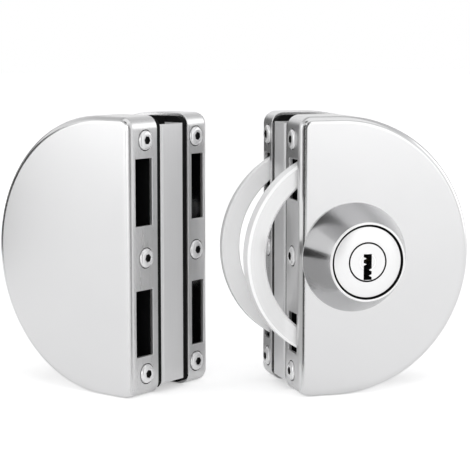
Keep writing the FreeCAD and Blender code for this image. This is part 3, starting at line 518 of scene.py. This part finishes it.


# The plating has two copies: a metallic one for the front crescent's faces, and a whiter one that
# is not metallic, painted light, on both rims and on the rear crescent's faces, which get less
# light.
plated_face = finish(
    "plated_face", turned_rings, middle=BOLT_AXIS, metallic=0.15, relief=0.02,
    fineness=1500.0, dark=(0.84, 0.84, 0.84, 1), light=(0.88, 0.88, 0.88, 1),
    roughness_low=0.20, roughness_high=0.28,
)
plated_painted_light = finish(
    "plated_painted_light", turned_rings, middle=BOLT_AXIS, metallic=0.0, relief=0.02,
    fineness=1500.0, dark=(0.96, 0.96, 0.96, 1), light=(1.0, 1.0, 1.0, 1),
    roughness_low=0.20, roughness_high=0.28,
)
for bolt_name, side, arm_side, seat, face_finish in (
    ("front_crescent_bolt", FRONT, 1, AXIS_FRONT, plated_face),
    ("rear_crescent_bolt", REAR, -1, AXIS_REAR, plated_painted_light),
):
    crescent = draw_crescent(side, arm_side)
    for face in crescent.faces:
        heights = [v.co.z for v in face.verts]
        face.material_index = 0 if same(max(heights), min(heights)) else 1
    bmesh.ops.transform(crescent, matrix=seat, verts=crescent.verts)
    make_piece(
        bolt_name + "_plated", crescent, "bolt_works",
        [face_finish, plated_painted_light], [bolt_name],
    )


# Screws: button head screws with a hexagon socket, bright zinc plated. Three hold each cover to the
# blocks behind its strip, in shallow sinks, and four longer ones clamp each half on the glass.
STRIP_HEIGHTS, SCREW_TWISTS = (45.8, 0.0, -45.8), (12, 40, 23)
SCREW_LENGTH, THREAD_RADIUS, POINT_RADIUS, POINT_TAPER = 6.0, 2.0, 1.7, 0.4
HEAD_SINK, HEAD_STEPS, CROWN_RADIUS, CROWN_HEIGHT = 0.6, 48, 2.05, 1.7
HEAD_ROUND = [
    (2.6, 1.66), (3.05, 1.52), (3.4, 1.30), (3.62, 1.08), (3.75, 0.88), (3.8, 0.65), (3.8, 0.12),
    (3.7, 0.0),
]
SOCKET_RADIUS, SOCKET_TOP, SOCKET_DEPTH, SOCKET_CONE = 1.73, 1.62, 1.2, 0.3
SEATS = {
    "lock_front": (LOCK_FRONT, FRONT),
    "lock_rear": (LOCK_REAR, REAR),
    "keeper_front": (casing_seat(KEEPER_HALF, 1), FRONT),
    "keeper_rear": (casing_seat(KEEPER_HALF, -1), REAR),
}


def spin_profile(mesh, corners, steps):
    """Turns a line of (radius, height) corners once round the Z axis."""
    line = [mesh.verts.new((radius, 0, height)) for radius, height in corners]
    edges = [mesh.edges.new(pair) for pair in zip(line, line[1:])]
    bmesh.ops.spin(
        mesh, geom=line + edges, cent=(0, 0, 0), axis=(0, 0, 1), angle=2 * math.pi, steps=steps,
        use_merge=True,
    )
    bmesh.ops.remove_doubles(mesh, verts=mesh.verts, dist=1e-5)


def ring_edges(mesh, radius, height):
    """The edges of the circle of this radius at this height."""
    def on_ring(v):
        return same(math.hypot(v.co.x, v.co.y), radius) and same(v.co.z, height)

    return [e for e in mesh.edges if all(on_ring(v) for v in e.verts)]


def pull_wall(mesh, rim, shift, scale=(1, 1, 1), centre=(0, 0, 0)):
    """Draws a wall from the rim of an opening, and gives back the rim at its far end."""
    wall = bmesh.ops.extrude_edge_only(mesh, edges=rim)["geom"]
    far = verts_in(wall)
    bmesh.ops.translate(mesh, vec=shift, verts=far)
    bmesh.ops.scale(mesh, vec=scale, verts=far, space=Matrix.Translation(-Vector(centre)))
    return [e for e in wall if isinstance(e, bmesh.types.BMEdge)]


def add_drawn(mesh, drawn):
    """Adds what is drawn in one mesh to another, and clears the first away."""
    data = bpy.data.meshes.new("drawn")
    drawn.to_mesh(data)
    drawn.free()
    mesh.from_mesh(data)
    bpy.data.meshes.remove(data)


def draw_button_screw():
    """One screw with the underside of its head at Z = 0 and its shank below."""
    mesh = bmesh.new()
    shank = [
        (THREAD_RADIUS, 0.0), (THREAD_RADIUS, POINT_TAPER - SCREW_LENGTH),
        (POINT_RADIUS, -SCREW_LENGTH),
    ]
    spin_profile(mesh, [(CROWN_RADIUS, CROWN_HEIGHT)] + HEAD_ROUND + shank, HEAD_STEPS)
    bmesh.ops.contextual_create(mesh, geom=ring_edges(mesh, POINT_RADIUS, -SCREW_LENGTH))
    hexagon = edges_at(draw_circle(mesh, SOCKET_RADIUS, 6, SOCKET_TOP))
    split = bmesh.ops.subdivide_edges(mesh, edges=hexagon, cuts=HEAD_STEPS // 6 - 1)
    rim = edges_at(verts_in(split["geom_inner"]))
    bmesh.ops.bridge_loops(mesh, edges=rim + ring_edges(mesh, CROWN_RADIUS, CROWN_HEIGHT))
    rim = pull_wall(mesh, rim, (0, 0, -SOCKET_DEPTH))
    rim = pull_wall(mesh, rim, (0, 0, -SOCKET_CONE), (0.5, 0.5, 1))
    bmesh.ops.contextual_create(mesh, geom=rim)
    return mesh


screw_zinc = finish(
    "screw_zinc", drawn_lines, metallic=0.5, relief=0.02,
    fineness=500.0, dark=(0.84, 0.84, 0.85, 1), light=(0.94, 0.94, 0.94, 1),
    roughness_low=0.10, roughness_high=0.18,
)
socket_shadow = finish(
    "socket_shadow", rubber_skin, metallic=0.2, relief=0.1,
    dark=(0.003, 0.003, 0.003, 1), light=(0.01, 0.01, 0.01, 1),
)
for casing, (seat, side) in SEATS.items():
    screws = bmesh.new()
    for height, twist in zip(STRIP_HEIGHTS, SCREW_TWISTS):
        one = draw_button_screw()
        for face in one.faces:
            middle = face.calc_center_median()
            within = math.hypot(middle.x, middle.y) < SOCKET_RADIUS
            face.material_index = 1 if within and 0 < middle.z < SOCKET_TOP else 0
        lying = (
            seat
            @ Matrix.Translation((HEAD_SINK, height, side["setback"]))
            @ Matrix.Rotation(math.radians(-90), 4, "Y")
            @ Matrix.Rotation(math.radians(twist), 4, "Z")
        )
        bmesh.ops.transform(one, matrix=lying, verts=one.verts)
        add_drawn(screws, one)
    node = casing + "_cover_screws"
    make_piece(
        node + "_domed", screws, "frame", [screw_zinc, socket_shadow], [node]
    )
finish_node(screw_zinc, "lock_clamp_screws", "keeper_clamp_screws")


# Covers: drawn stainless steel shells, 1.5 mm thick, pushed over the clamp plates. The face is
# satin and the strip is brushed along its length, with punched bolt slots and a round sink for
# each screw head. The lock's two faces also have a round hole on the bolt axis.
CASING_FLAT, HALF_HEIGHT, CORNER_ROUND, FACE_ROUND, WALL = 16.3, 55.0, 5.0, 2.8, 1.5
LOCK_SLOT, KEEPER_SLOT = (22.315, 38.235), (12.615, 38.735)
SCREW_HOLE, SINK_RADIUS, SINK_ROOM = 2.2, 4.1, 4.2
BODY_HOLE, SHANK_BORE, FACE_ROOM = 13.2, 8.304, 16
SLACK = 0.1


def draw_arc(mesh, start, centre, angle, steps):
    """Draws an arc from a corner, anticlockwise round a centre, and gives back its last corner."""
    return bmesh.ops.spin(
        mesh, geom=[start], cent=centre, axis=(0, 0, 1), angle=angle, steps=steps
    )["geom_last"][0]


def draw_d(mesh, inset):
    """The casing's closed D: one large arc, two level sides and the straight strip."""
    radius = HALF_HEIGHT - inset
    bend = CORNER_ROUND - inset
    first = mesh.verts.new((CASING_FLAT, -radius, 0))
    arc = draw_arc(mesh, first, (CASING_FLAT, 0, 0), math.pi, 96)
    corner = mesh.verts.new((inset + bend, radius, 0))
    mesh.edges.new((arc, corner))
    turned = draw_arc(mesh, corner, (inset + bend, radius - bend, 0), math.pi / 2, 10)
    foot = mesh.verts.new((inset, bend - radius, 0))
    mesh.edges.new((turned, foot))
    last = draw_arc(mesh, foot, (inset + bend, bend - radius, 0), math.pi / 2, 10)
    mesh.edges.new((last, first))
    return mesh.edges[:]


def cut_flat(mesh, on_flat, place, direction):
    """Draws one straight line across the faces of a flat side."""
    faces = [f for f in mesh.faces if on_flat(f)]
    edges = list(dict.fromkeys(e for f in faces for e in f.edges))
    verts = list(dict.fromkeys(v for f in faces for v in f.verts))
    bmesh.ops.bisect_plane(
        mesh, geom=faces + edges + verts, dist=1e-5, plane_co=place, plane_no=direction
    )


def punch(mesh, on_flat, centre, across, up, radius, room, steps=48):
    """Punches a round hole in a flat side: a square is cut out and filled up to the hole."""
    centre, across, up = Vector(centre), Vector(across), Vector(up)
    for axis in (across, up):
        for shift in (-room, room):
            cut_flat(mesh, on_flat, centre + axis * shift, axis)

    def inside(face):
        offset = face.calc_center_median() - centre
        return on_flat(face) and max(abs(offset.dot(across)), abs(offset.dot(up))) < room

    patch = [f for f in mesh.faces if inside(f)]
    sides = dict.fromkeys(e for f in patch for e in f.edges)
    border = [e for e in sides if sum(f in patch for f in e.link_faces) == 1]
    bmesh.ops.delete(mesh, geom=patch, context="FACES")
    hole = draw_circle(mesh, radius, steps)
    axes = Matrix((across, up, across.cross(up))).transposed().to_4x4()
    bmesh.ops.transform(mesh, matrix=Matrix.Translation(centre) @ axes, verts=hole)
    rim = edges_at(hole)
    edges = [e for e in border if e.is_valid] + rim
    bmesh.ops.triangle_fill(mesh, use_beauty=True, use_dissolve=False, edges=edges)
    return rim


def draw_skin(side, slots, face_hole, inset):
    """One skin of a cover, open towards the glass. The inner one is inset by the wall."""
    mesh = bmesh.new()
    depth = side["depth"] - inset
    outline = bmesh.ops.contextual_create(mesh, geom=draw_d(mesh, inset))["faces"]
    raise_faces(mesh, outline, depth)
    open_side = [f for f in mesh.faces if all(same(v.co.z, 0) for v in f.verts)]
    bmesh.ops.delete(mesh, geom=open_side, context="FACES_ONLY")
    bmesh.ops.recalc_face_normals(mesh, faces=mesh.faces)
    rim = [e for e in mesh.edges if all(same(v.co.z, depth) for v in e.verts)]
    round_off(mesh, rim, FACE_ROUND - inset, 8)
    bmesh.ops.recalc_face_normals(mesh, faces=mesh.faces)

    def on_strip(f):
        return all(same(v.co.x, inset) for v in f.verts)

    def on_face(f):
        return all(same(v.co.z, depth) for v in f.verts)

    low, high = slots
    near, far = side["slot"]
    for line in (low, high, -low, -high):
        cut_flat(mesh, on_strip, (0, line, 0), (0, 1, 0))
    for line in (near, far):
        cut_flat(mesh, on_strip, (0, 0, line), (0, 0, 1))

    def in_slot(f):
        middle = f.calc_center_median()
        return on_strip(f) and low < abs(middle.y) < high and near < middle.z < far

    bmesh.ops.delete(mesh, geom=[f for f in mesh.faces if in_slot(f)], context="FACES")
    radius = SCREW_HOLE if inset else SINK_RADIUS
    for height in STRIP_HEIGHTS:
        centre = (inset, height, side["setback"])
        hole = punch(mesh, on_strip, centre, (0, 1, 0), (0, 0, 1), radius, SINK_ROOM)
        if not inset:
            shrink = SCREW_HOLE / SINK_RADIUS
            hole = pull_wall(mesh, hole, (HEAD_SINK, 0, 0))
            pull_wall(mesh, hole, (0, 0, 0), (1, shrink, shrink), centre)
    if face_hole:
        centre = (AXIS_SETBACK, 0, depth)
        punch(mesh, on_face, centre, (1, 0, 0), (0, 1, 0), face_hole, FACE_ROOM, steps=64)
    bmesh.ops.recalc_face_normals(mesh, faces=mesh.faces)
    if inset:
        bmesh.ops.reverse_faces(mesh, faces=mesh.faces)
    return mesh


def draw_cover(side, slots, face_hole):
    """Both skins of a cover, joined along its rim and round each opening."""
    mesh = bmesh.new()
    for inset in (0, WALL):
        add_drawn(mesh, draw_skin(side, slots, face_hole, inset))
    low, high = slots
    near, far = side["slot"]

    def in_rim(v):
        return same(v.z, 0)

    def in_upper_slot(v):
        beside = low - SLACK < v.y < high + SLACK and near - SLACK < v.z < far + SLACK
        return v.x < WALL + SLACK and beside

    def in_lower_slot(v):
        return in_upper_slot(Vector((v.x, -v.y, v.z)))

    def in_screw_hole(height):
        def belongs(v):
            reach = math.hypot(v.y - height, v.z - side["setback"])
            return v.x < WALL + SLACK and reach < SCREW_HOLE + SLACK
        return belongs

    def in_face_hole(v):
        reach = math.hypot(v.x - AXIS_SETBACK, v.y)
        return v.z > side["depth"] - WALL - SLACK and reach < face_hole + SLACK

    openings = [in_rim, in_upper_slot, in_lower_slot]
    openings += [in_screw_hole(height) for height in STRIP_HEIGHTS]
    if face_hole:
        openings.append(in_face_hole)
    for belongs in openings:
        loops = [e for e in mesh.edges if e.is_boundary and all(belongs(v.co) for v in e.verts)]
        bmesh.ops.bridge_loops(mesh, edges=loops)
    return mesh


satin_face = finish(
    "satin_face", drawn_lines, relief=0.0,
    fineness=60.0, dark=(0.82, 0.82, 0.825, 1), light=(0.86, 0.86, 0.86, 1),
    roughness_low=0.17, roughness_high=0.25,
)
brushed_strip = finish(
    "brushed_strip", drawn_lines, stretch=(1, 1, 0.03), metallic=0.85, relief=0.03,
    fineness=2600.0, dark=(0.68, 0.68, 0.685, 1), light=(0.88, 0.88, 0.88, 1),
    roughness_low=0.22, roughness_high=0.36,
)
for casing, slots, face_hole in (
    ("lock_front", LOCK_SLOT, BODY_HOLE),
    ("lock_rear", LOCK_SLOT, SHANK_BORE),
    ("keeper_front", KEEPER_SLOT, None),
    ("keeper_rear", KEEPER_SLOT, None),
):
    seat, side = SEATS[casing]
    shell = draw_cover(side, slots, face_hole)
    for face in shell.faces:
        face.material_index = 1 if all(v.co.x < WALL + SLACK for v in face.verts) else 0
        middle = face.calc_center_median()
        reach = min(
            math.hypot(middle.y - height, middle.z - side["setback"]) for height in STRIP_HEIGHTS
        )
        sunk = not same(middle.x, 0) and middle.x < HEAD_SINK + SLACK
        if sunk and reach < SINK_RADIUS + SLACK:
            face.material_index = 2
    bmesh.ops.transform(shell, matrix=seat, verts=shell.verts)
    node = casing + "_cover"
    cover = make_piece(
        node + "_shell", shell, "frame",
        [satin_face, brushed_strip, socket_shadow], [node], sharp=50,
    )
    edge = cover.modifiers.new("broken_edge", "BEVEL")
    edge.width = 0.2 * MM
    edge.segments = 2
    edge.limit_method = "ANGLE"
    edge.angle_limit = math.radians(50)
    even_shading(cover)


# Bezel of the key cylinder: a turned steel cone round the cylinder's head. Its foot lies on the
# cover, and the cylinder's shoulder clamps it down. Its lip, just proud of the head, and the edge
# of its foot carry a painted highlight, and its inside is near black with painted shade.
BEZEL_FOOT, FOOT_EDGE, FOOT_BEVEL, SHOULDER = 21.4497, 0.8, 0.2, 24.4
BEZEL_LIP, LIP_INSIDE, BEZEL_TOP = 15.2, 14.45, 31.9
LIP_ROUND, LIP_INNER_ROUND, LIP_LAND, FOOT_LAND, SHADE_REACH = 0.39, 0.12, 0.36, 0.75, 0.02


def round_rings(mesh, *rings):
    """Rounds circles of a turned piece, each given by its radius, height, width and steps."""
    for radius, height, width, steps in rings:
        round_off(mesh, ring_edges(mesh, radius, height), width, steps)


def draw_bezel():
    """The cone with its round lip and broken foot, on the bolt axis."""
    mesh = bmesh.new()
    foot = FRONT["depth"]
    spin_profile(mesh, [
        (BODY_HOLE, foot), (BEZEL_FOOT - FOOT_BEVEL, foot), (BEZEL_FOOT, foot + FOOT_BEVEL),
        (BEZEL_FOOT, foot + FOOT_EDGE), (BEZEL_LIP, BEZEL_TOP), (LIP_INSIDE, BEZEL_TOP),
        (LIP_INSIDE, SHOULDER), (BODY_HOLE, SHOULDER), (BODY_HOLE, foot),
    ], 128)
    round_rings(
        mesh, (BEZEL_LIP, BEZEL_TOP, LIP_ROUND, 6), (LIP_INSIDE, BEZEL_TOP, LIP_INNER_ROUND, 2),
        (BEZEL_FOOT, foot + FOOT_EDGE, FOOT_BEVEL, 3),
    )
    return mesh


satin_bezel = finish(
    "satin_bezel", turned_rings, middle=BOLT_AXIS, relief=0.015,
    fineness=2600.0, dark=(0.54, 0.54, 0.55, 1), light=(0.66, 0.66, 0.665, 1),
    roughness_low=0.22, roughness_high=0.27,
)
painted_highlight_land = finish(
    "painted_highlight_land", turned_rings, middle=BOLT_AXIS, metallic=0.3, relief=0.01,
    fineness=900.0, dark=(0.94, 0.94, 0.94, 1), light=(0.98, 0.98, 0.98, 1),
    roughness_low=0.15, roughness_high=0.22,
)
# Near black, painted shade: in the bezel's inside, on the edges round the plug and in the keyway.
groove_painted_shade = finish(
    "groove_painted_shade", rubber_skin, metallic=0.2, relief=0.1,
    dark=(0.004, 0.004, 0.004, 1), light=(0.015, 0.015, 0.015, 1),
)
bezel = draw_bezel()
for face in bezel.faces:
    middle = face.calc_center_median()
    if math.hypot(middle.x, middle.y) < LIP_INSIDE + SHADE_REACH:
        face.material_index = 1
    elif middle.z > BEZEL_TOP - LIP_LAND or middle.z < FRONT["depth"] + FOOT_LAND:
        face.material_index = 2
bmesh.ops.transform(bezel, matrix=AXIS_FRONT, verts=bezel.verts)
make_piece(
    "cylinder_bezel_turned", bezel, "frame",
    [satin_bezel, groove_painted_shade, painted_highlight_land], ["cylinder_bezel"], sharp=35,
)


# Cylinder housing: turned brass, satin chrome plated, with a wide head in the bezel. Its edge and
# the plug's are broken, and the broken edges, the bore and the side of the head carry painted
# shade, a dark line round the plug. A nut holds it from inside.
PLUG_RADIUS, PLUG_BORE, HEAD_RADIUS, BODY_RADIUS = 7.4, 7.45, 13.7, 13.0
CYLINDER_FACE, HOUSING_BACK, SKIRT_START, SKIRT_INSIDE = 31.4, 17.2, 13.6, 10.0
HEAD_EDGE, EDGE_STEP, GROOVE, GROOVE_DEPTH = 0.3, 0.1, 0.3, 0.5

satin_chrome = finish(
    "satin_chrome", turned_rings, middle=BOLT_AXIS, metallic=0.3, relief=0.01,
    fineness=1500.0, dark=(0.94, 0.94, 0.94, 1), light=(0.98, 0.98, 0.98, 1),
    roughness_low=0.22, roughness_high=0.30,
)
housing = bmesh.new()
spin_profile(housing, [
    (PLUG_BORE, HOUSING_BACK), (SKIRT_INSIDE, HOUSING_BACK), (SKIRT_INSIDE, SKIRT_START),
    (BODY_RADIUS, SKIRT_START), (BODY_RADIUS, SHOULDER), (HEAD_RADIUS, SHOULDER),
    (HEAD_RADIUS, CYLINDER_FACE - HEAD_EDGE), (HEAD_RADIUS - EDGE_STEP, CYLINDER_FACE - EDGE_STEP),
    (HEAD_RADIUS - HEAD_EDGE, CYLINDER_FACE), (PLUG_BORE + GROOVE, CYLINDER_FACE),
    (PLUG_BORE, CYLINDER_FACE - GROOVE_DEPTH), (PLUG_BORE, HOUSING_BACK),
], 96)
for face in housing.faces:
    middle = face.calc_center_median()
    reach = math.hypot(middle.x, middle.y)
    in_painted_shade = reach < PLUG_BORE + GROOVE or reach > HEAD_RADIUS - EDGE_STEP
    face.material_index = 1 if in_painted_shade else 0
bmesh.ops.transform(housing, matrix=AXIS_FRONT, verts=housing.verts)
make_piece(
    "cylinder_housing_turned", housing, "frame",
    [satin_chrome, groove_painted_shade], ["cylinder_housing"],
)
finish_node(turned_steel, "cylinder_locknut")


# Plug: the core that the key turns, with a tall keyway below its middle and wards from both sides.
# Its tailpiece turns the spindle, and brass pins and fine springs lie in one row beside the keyway.
PLUG_BACK = 17.1
KEYWAY_HALF_WIDTH, KEYWAY_HEIGHT, KEYWAY_DROP, WARD = 1.65, 10.0, 1.9, 1.15
PIN_START, PIN_STEP, PIN_COUNT = 28.1, 3, 4
SPRING_START, SPRING_END, SPRING_RADIUS, SPRING_WIRE, SPRING_TURNS = 10.1, 12.45, 0.95, 0.18, 4


def draw_plug():
    """The plug with its keyway, its face away from the glass."""
    mesh = bmesh.new()
    low = -(KEYWAY_HEIGHT / 2 + KEYWAY_DROP)
    high = KEYWAY_HEIGHT / 2 - KEYWAY_DROP
    step = KEYWAY_HEIGHT / 9
    # The corners of the wards: how many steps up one side, and how far in from it.
    wards = [(1, 0), (1.5, WARD), (2, 0), (3, 0), (3.5, WARD), (4, 0)]
    outline = [(-KEYWAY_HALF_WIDTH, low), (KEYWAY_HALF_WIDTH, low)]
    outline += [(KEYWAY_HALF_WIDTH - reach, low + step * rise) for rise, reach in wards]
    outline += [(KEYWAY_HALF_WIDTH, high), (-KEYWAY_HALF_WIDTH, high)]
    outline += [(reach - KEYWAY_HALF_WIDTH, high - step * fall) for fall, reach in wards]
    corners = [mesh.verts.new((x, y, CYLINDER_FACE)) for x, y in outline]
    keyway = [mesh.edges.new(pair) for pair in zip(corners, corners[1:] + corners[:1])]
    rim = edges_at(draw_circle(mesh, PLUG_RADIUS - GROOVE, 72, CYLINDER_FACE))
    bmesh.ops.triangle_fill(mesh, use_beauty=True, use_dissolve=False, edges=keyway + rim)
    growth = PLUG_RADIUS / (PLUG_RADIUS - GROOVE)
    rim = pull_wall(mesh, rim, (0, 0, -GROOVE_DEPTH), (growth, growth, 1))
    pull_wall(mesh, rim, (0, 0, -(CYLINDER_FACE - GROOVE_DEPTH - PLUG_BACK)))
    pull_wall(mesh, keyway, (0, 0, -(CYLINDER_FACE - PLUG_BACK)))
    back = [e for e in mesh.edges if e.is_boundary]
    bmesh.ops.triangle_fill(mesh, use_beauty=True, use_dissolve=False, edges=back)
    return mesh


def draw_spring():
    """One coil spring, wound up from Z = 0."""
    mesh = bmesh.new()
    steps = SPRING_TURNS * 16
    wire = draw_circle(mesh, SPRING_WIRE, 8, filled=True)
    bmesh.ops.rotate(mesh, cent=(0, 0, 0), matrix=Matrix.Rotation(math.pi / 2, 3, "X"), verts=wire)
    bmesh.ops.translate(mesh, vec=(SPRING_RADIUS, 0, SPRING_WIRE), verts=wire)
    rise = (SPRING_END - SPRING_START - 2 * SPRING_WIRE) / steps
    bmesh.ops.spin(
        mesh, geom=faces_at(wire), cent=(0, 0, 0), axis=(0, 0, 1), dvec=(0, 0, rise),
        angle=2 * math.pi * SPRING_TURNS, steps=steps,
    )
    return mesh


plug = draw_plug()
# Only the plug's front face keeps the chrome; its groove, keyway walls and sides are painted shade.
for face in plug.faces:
    on_front = all(same(v.co.z, CYLINDER_FACE) for v in face.verts)
    face.material_index = 0 if on_front else 1
bmesh.ops.transform(plug, matrix=AXIS_FRONT, verts=plug.verts)
make_piece(
    "cylinder_plug_cut", plug, "key_plug",
    [satin_chrome, groove_painted_shade], ["cylinder_plug"],
)
springs = bmesh.new()
for pin in range(PIN_COUNT):
    spring = draw_spring()
    place = Matrix.Translation((SPRING_START, 0, PIN_START - PIN_STEP * pin))
    lying = place @ Matrix.Rotation(math.pi / 2, 4, "Y")
    bmesh.ops.transform(spring, matrix=lying, verts=spring.verts)
    add_drawn(springs, spring)
bmesh.ops.transform(springs, matrix=AXIS_FRONT, verts=springs.verts)
make_piece("pin_springs_wound", springs, "frame", [turned_steel], ["pin_springs"])
finish_node(turned_brass, "key_pins", "driver_pins")
finish_node(turned_steel, "plug_tailpiece")


# Thumb turn on the other side: a flat rose on the cover and a drop-shaped grip of polished steel,
# set on the spindle's square and held by a grub screw.
ROSE_RADIUS, ROSE_EDGE, ROSE_TOP, ROSE_SLOPE = 20.0, 1.5, 18.9, 3.5
SHANK_RADIUS, SHANK_START, SHANK_OVERLAP = 8.004, 9.3, 0.5
TURN_SEAT, TURN_BOSS, TURN_HEIGHT, TURN_REACH, TURN_ROUND = 19.2, 11.0, 20.0, 19.0, 2.0
TIP_HALF_WIDTH, TIP_ROUND, SEAT_ROUND = 4.5, 2.6, 0.4
EDGE_ROUND, TOP_ROUND, BORE_ROUND = 0.5, 0.8, 0.2

rose = bmesh.new()
rose_edge = REAR["depth"] + ROSE_EDGE
spin_profile(rose, [
    (SHANK_BORE, REAR["depth"]), (ROSE_RADIUS, REAR["depth"]), (ROSE_RADIUS, rose_edge),
    (ROSE_RADIUS - ROSE_SLOPE, ROSE_TOP), (SHANK_BORE, ROSE_TOP), (SHANK_BORE, REAR["depth"]),
], 96)
round_rings(
    rose, (ROSE_RADIUS, rose_edge, EDGE_ROUND, 4),
    (ROSE_RADIUS - ROSE_SLOPE, ROSE_TOP, TOP_ROUND, 4), (SHANK_BORE, ROSE_TOP, BORE_ROUND, 4),
)
bmesh.ops.transform(rose, matrix=AXIS_REAR, verts=rose.verts)
make_piece(
    "thumb_rosette_turned", rose, "frame", [satin_bezel], ["thumb_rosette"],
    sharp=35,
)


def draw_thumb_turn():
    """The grip's drop-shaped outline is drawn once and raised, and the shank stands under it."""
    mesh = bmesh.new()
    slope = math.atan2(TURN_BOSS - TIP_HALF_WIDTH, TURN_REACH)
    first = mesh.verts.new((TURN_BOSS, 0, TURN_SEAT))
    arc = draw_arc(mesh, first, (0, 0, 0), math.pi, 48)
    left = mesh.verts.new((-TIP_HALF_WIDTH, -TURN_REACH, TURN_SEAT))
    right = mesh.verts.new((TIP_HALF_WIDTH, -TURN_REACH, TURN_SEAT))
    for pair in ((arc, left), (left, right), (right, first)):
        mesh.edges.new(pair)
    bmesh.ops.contextual_create(mesh, geom=mesh.edges[:])
    tip_cut = TIP_ROUND * math.tan((math.pi / 2 - slope) / 2)
    round_off(mesh, [left, right], tip_cut, 8, affect="VERTICES")
    raise_faces(mesh, mesh.faces[:], TURN_HEIGHT)
    top = TURN_SEAT + TURN_HEIGHT
    for height, width, steps in ((top, TURN_ROUND, 6), (TURN_SEAT, SEAT_ROUND, 2)):
        rim = [e for e in mesh.edges if all(same(v.co.z, height) for v in e.verts)]
        round_off(mesh, rim, width, steps)
    shank = draw_circle(mesh, SHANK_RADIUS, 48, SHANK_START, filled=True)
    raise_faces(mesh, faces_at(shank), TURN_SEAT + SHANK_OVERLAP - SHANK_START)
    return mesh


polished_turn = finish(
    "polished_turn", drawn_lines, relief=0.01,
    fineness=300.0, dark=(0.74, 0.74, 0.745, 1), light=(0.82, 0.82, 0.82, 1),
    roughness_low=0.12, roughness_high=0.20,
)
grip = draw_thumb_turn()
bmesh.ops.transform(grip, matrix=AXIS_REAR, verts=grip.verts)
turn = make_piece(
    "thumb_turn_cast", grip, "bolt_works", [polished_turn], ["thumb_turn"],
    sharp=35,
)
even_shading(turn)
finish_node(screw_zinc, "thumb_grub_screw")
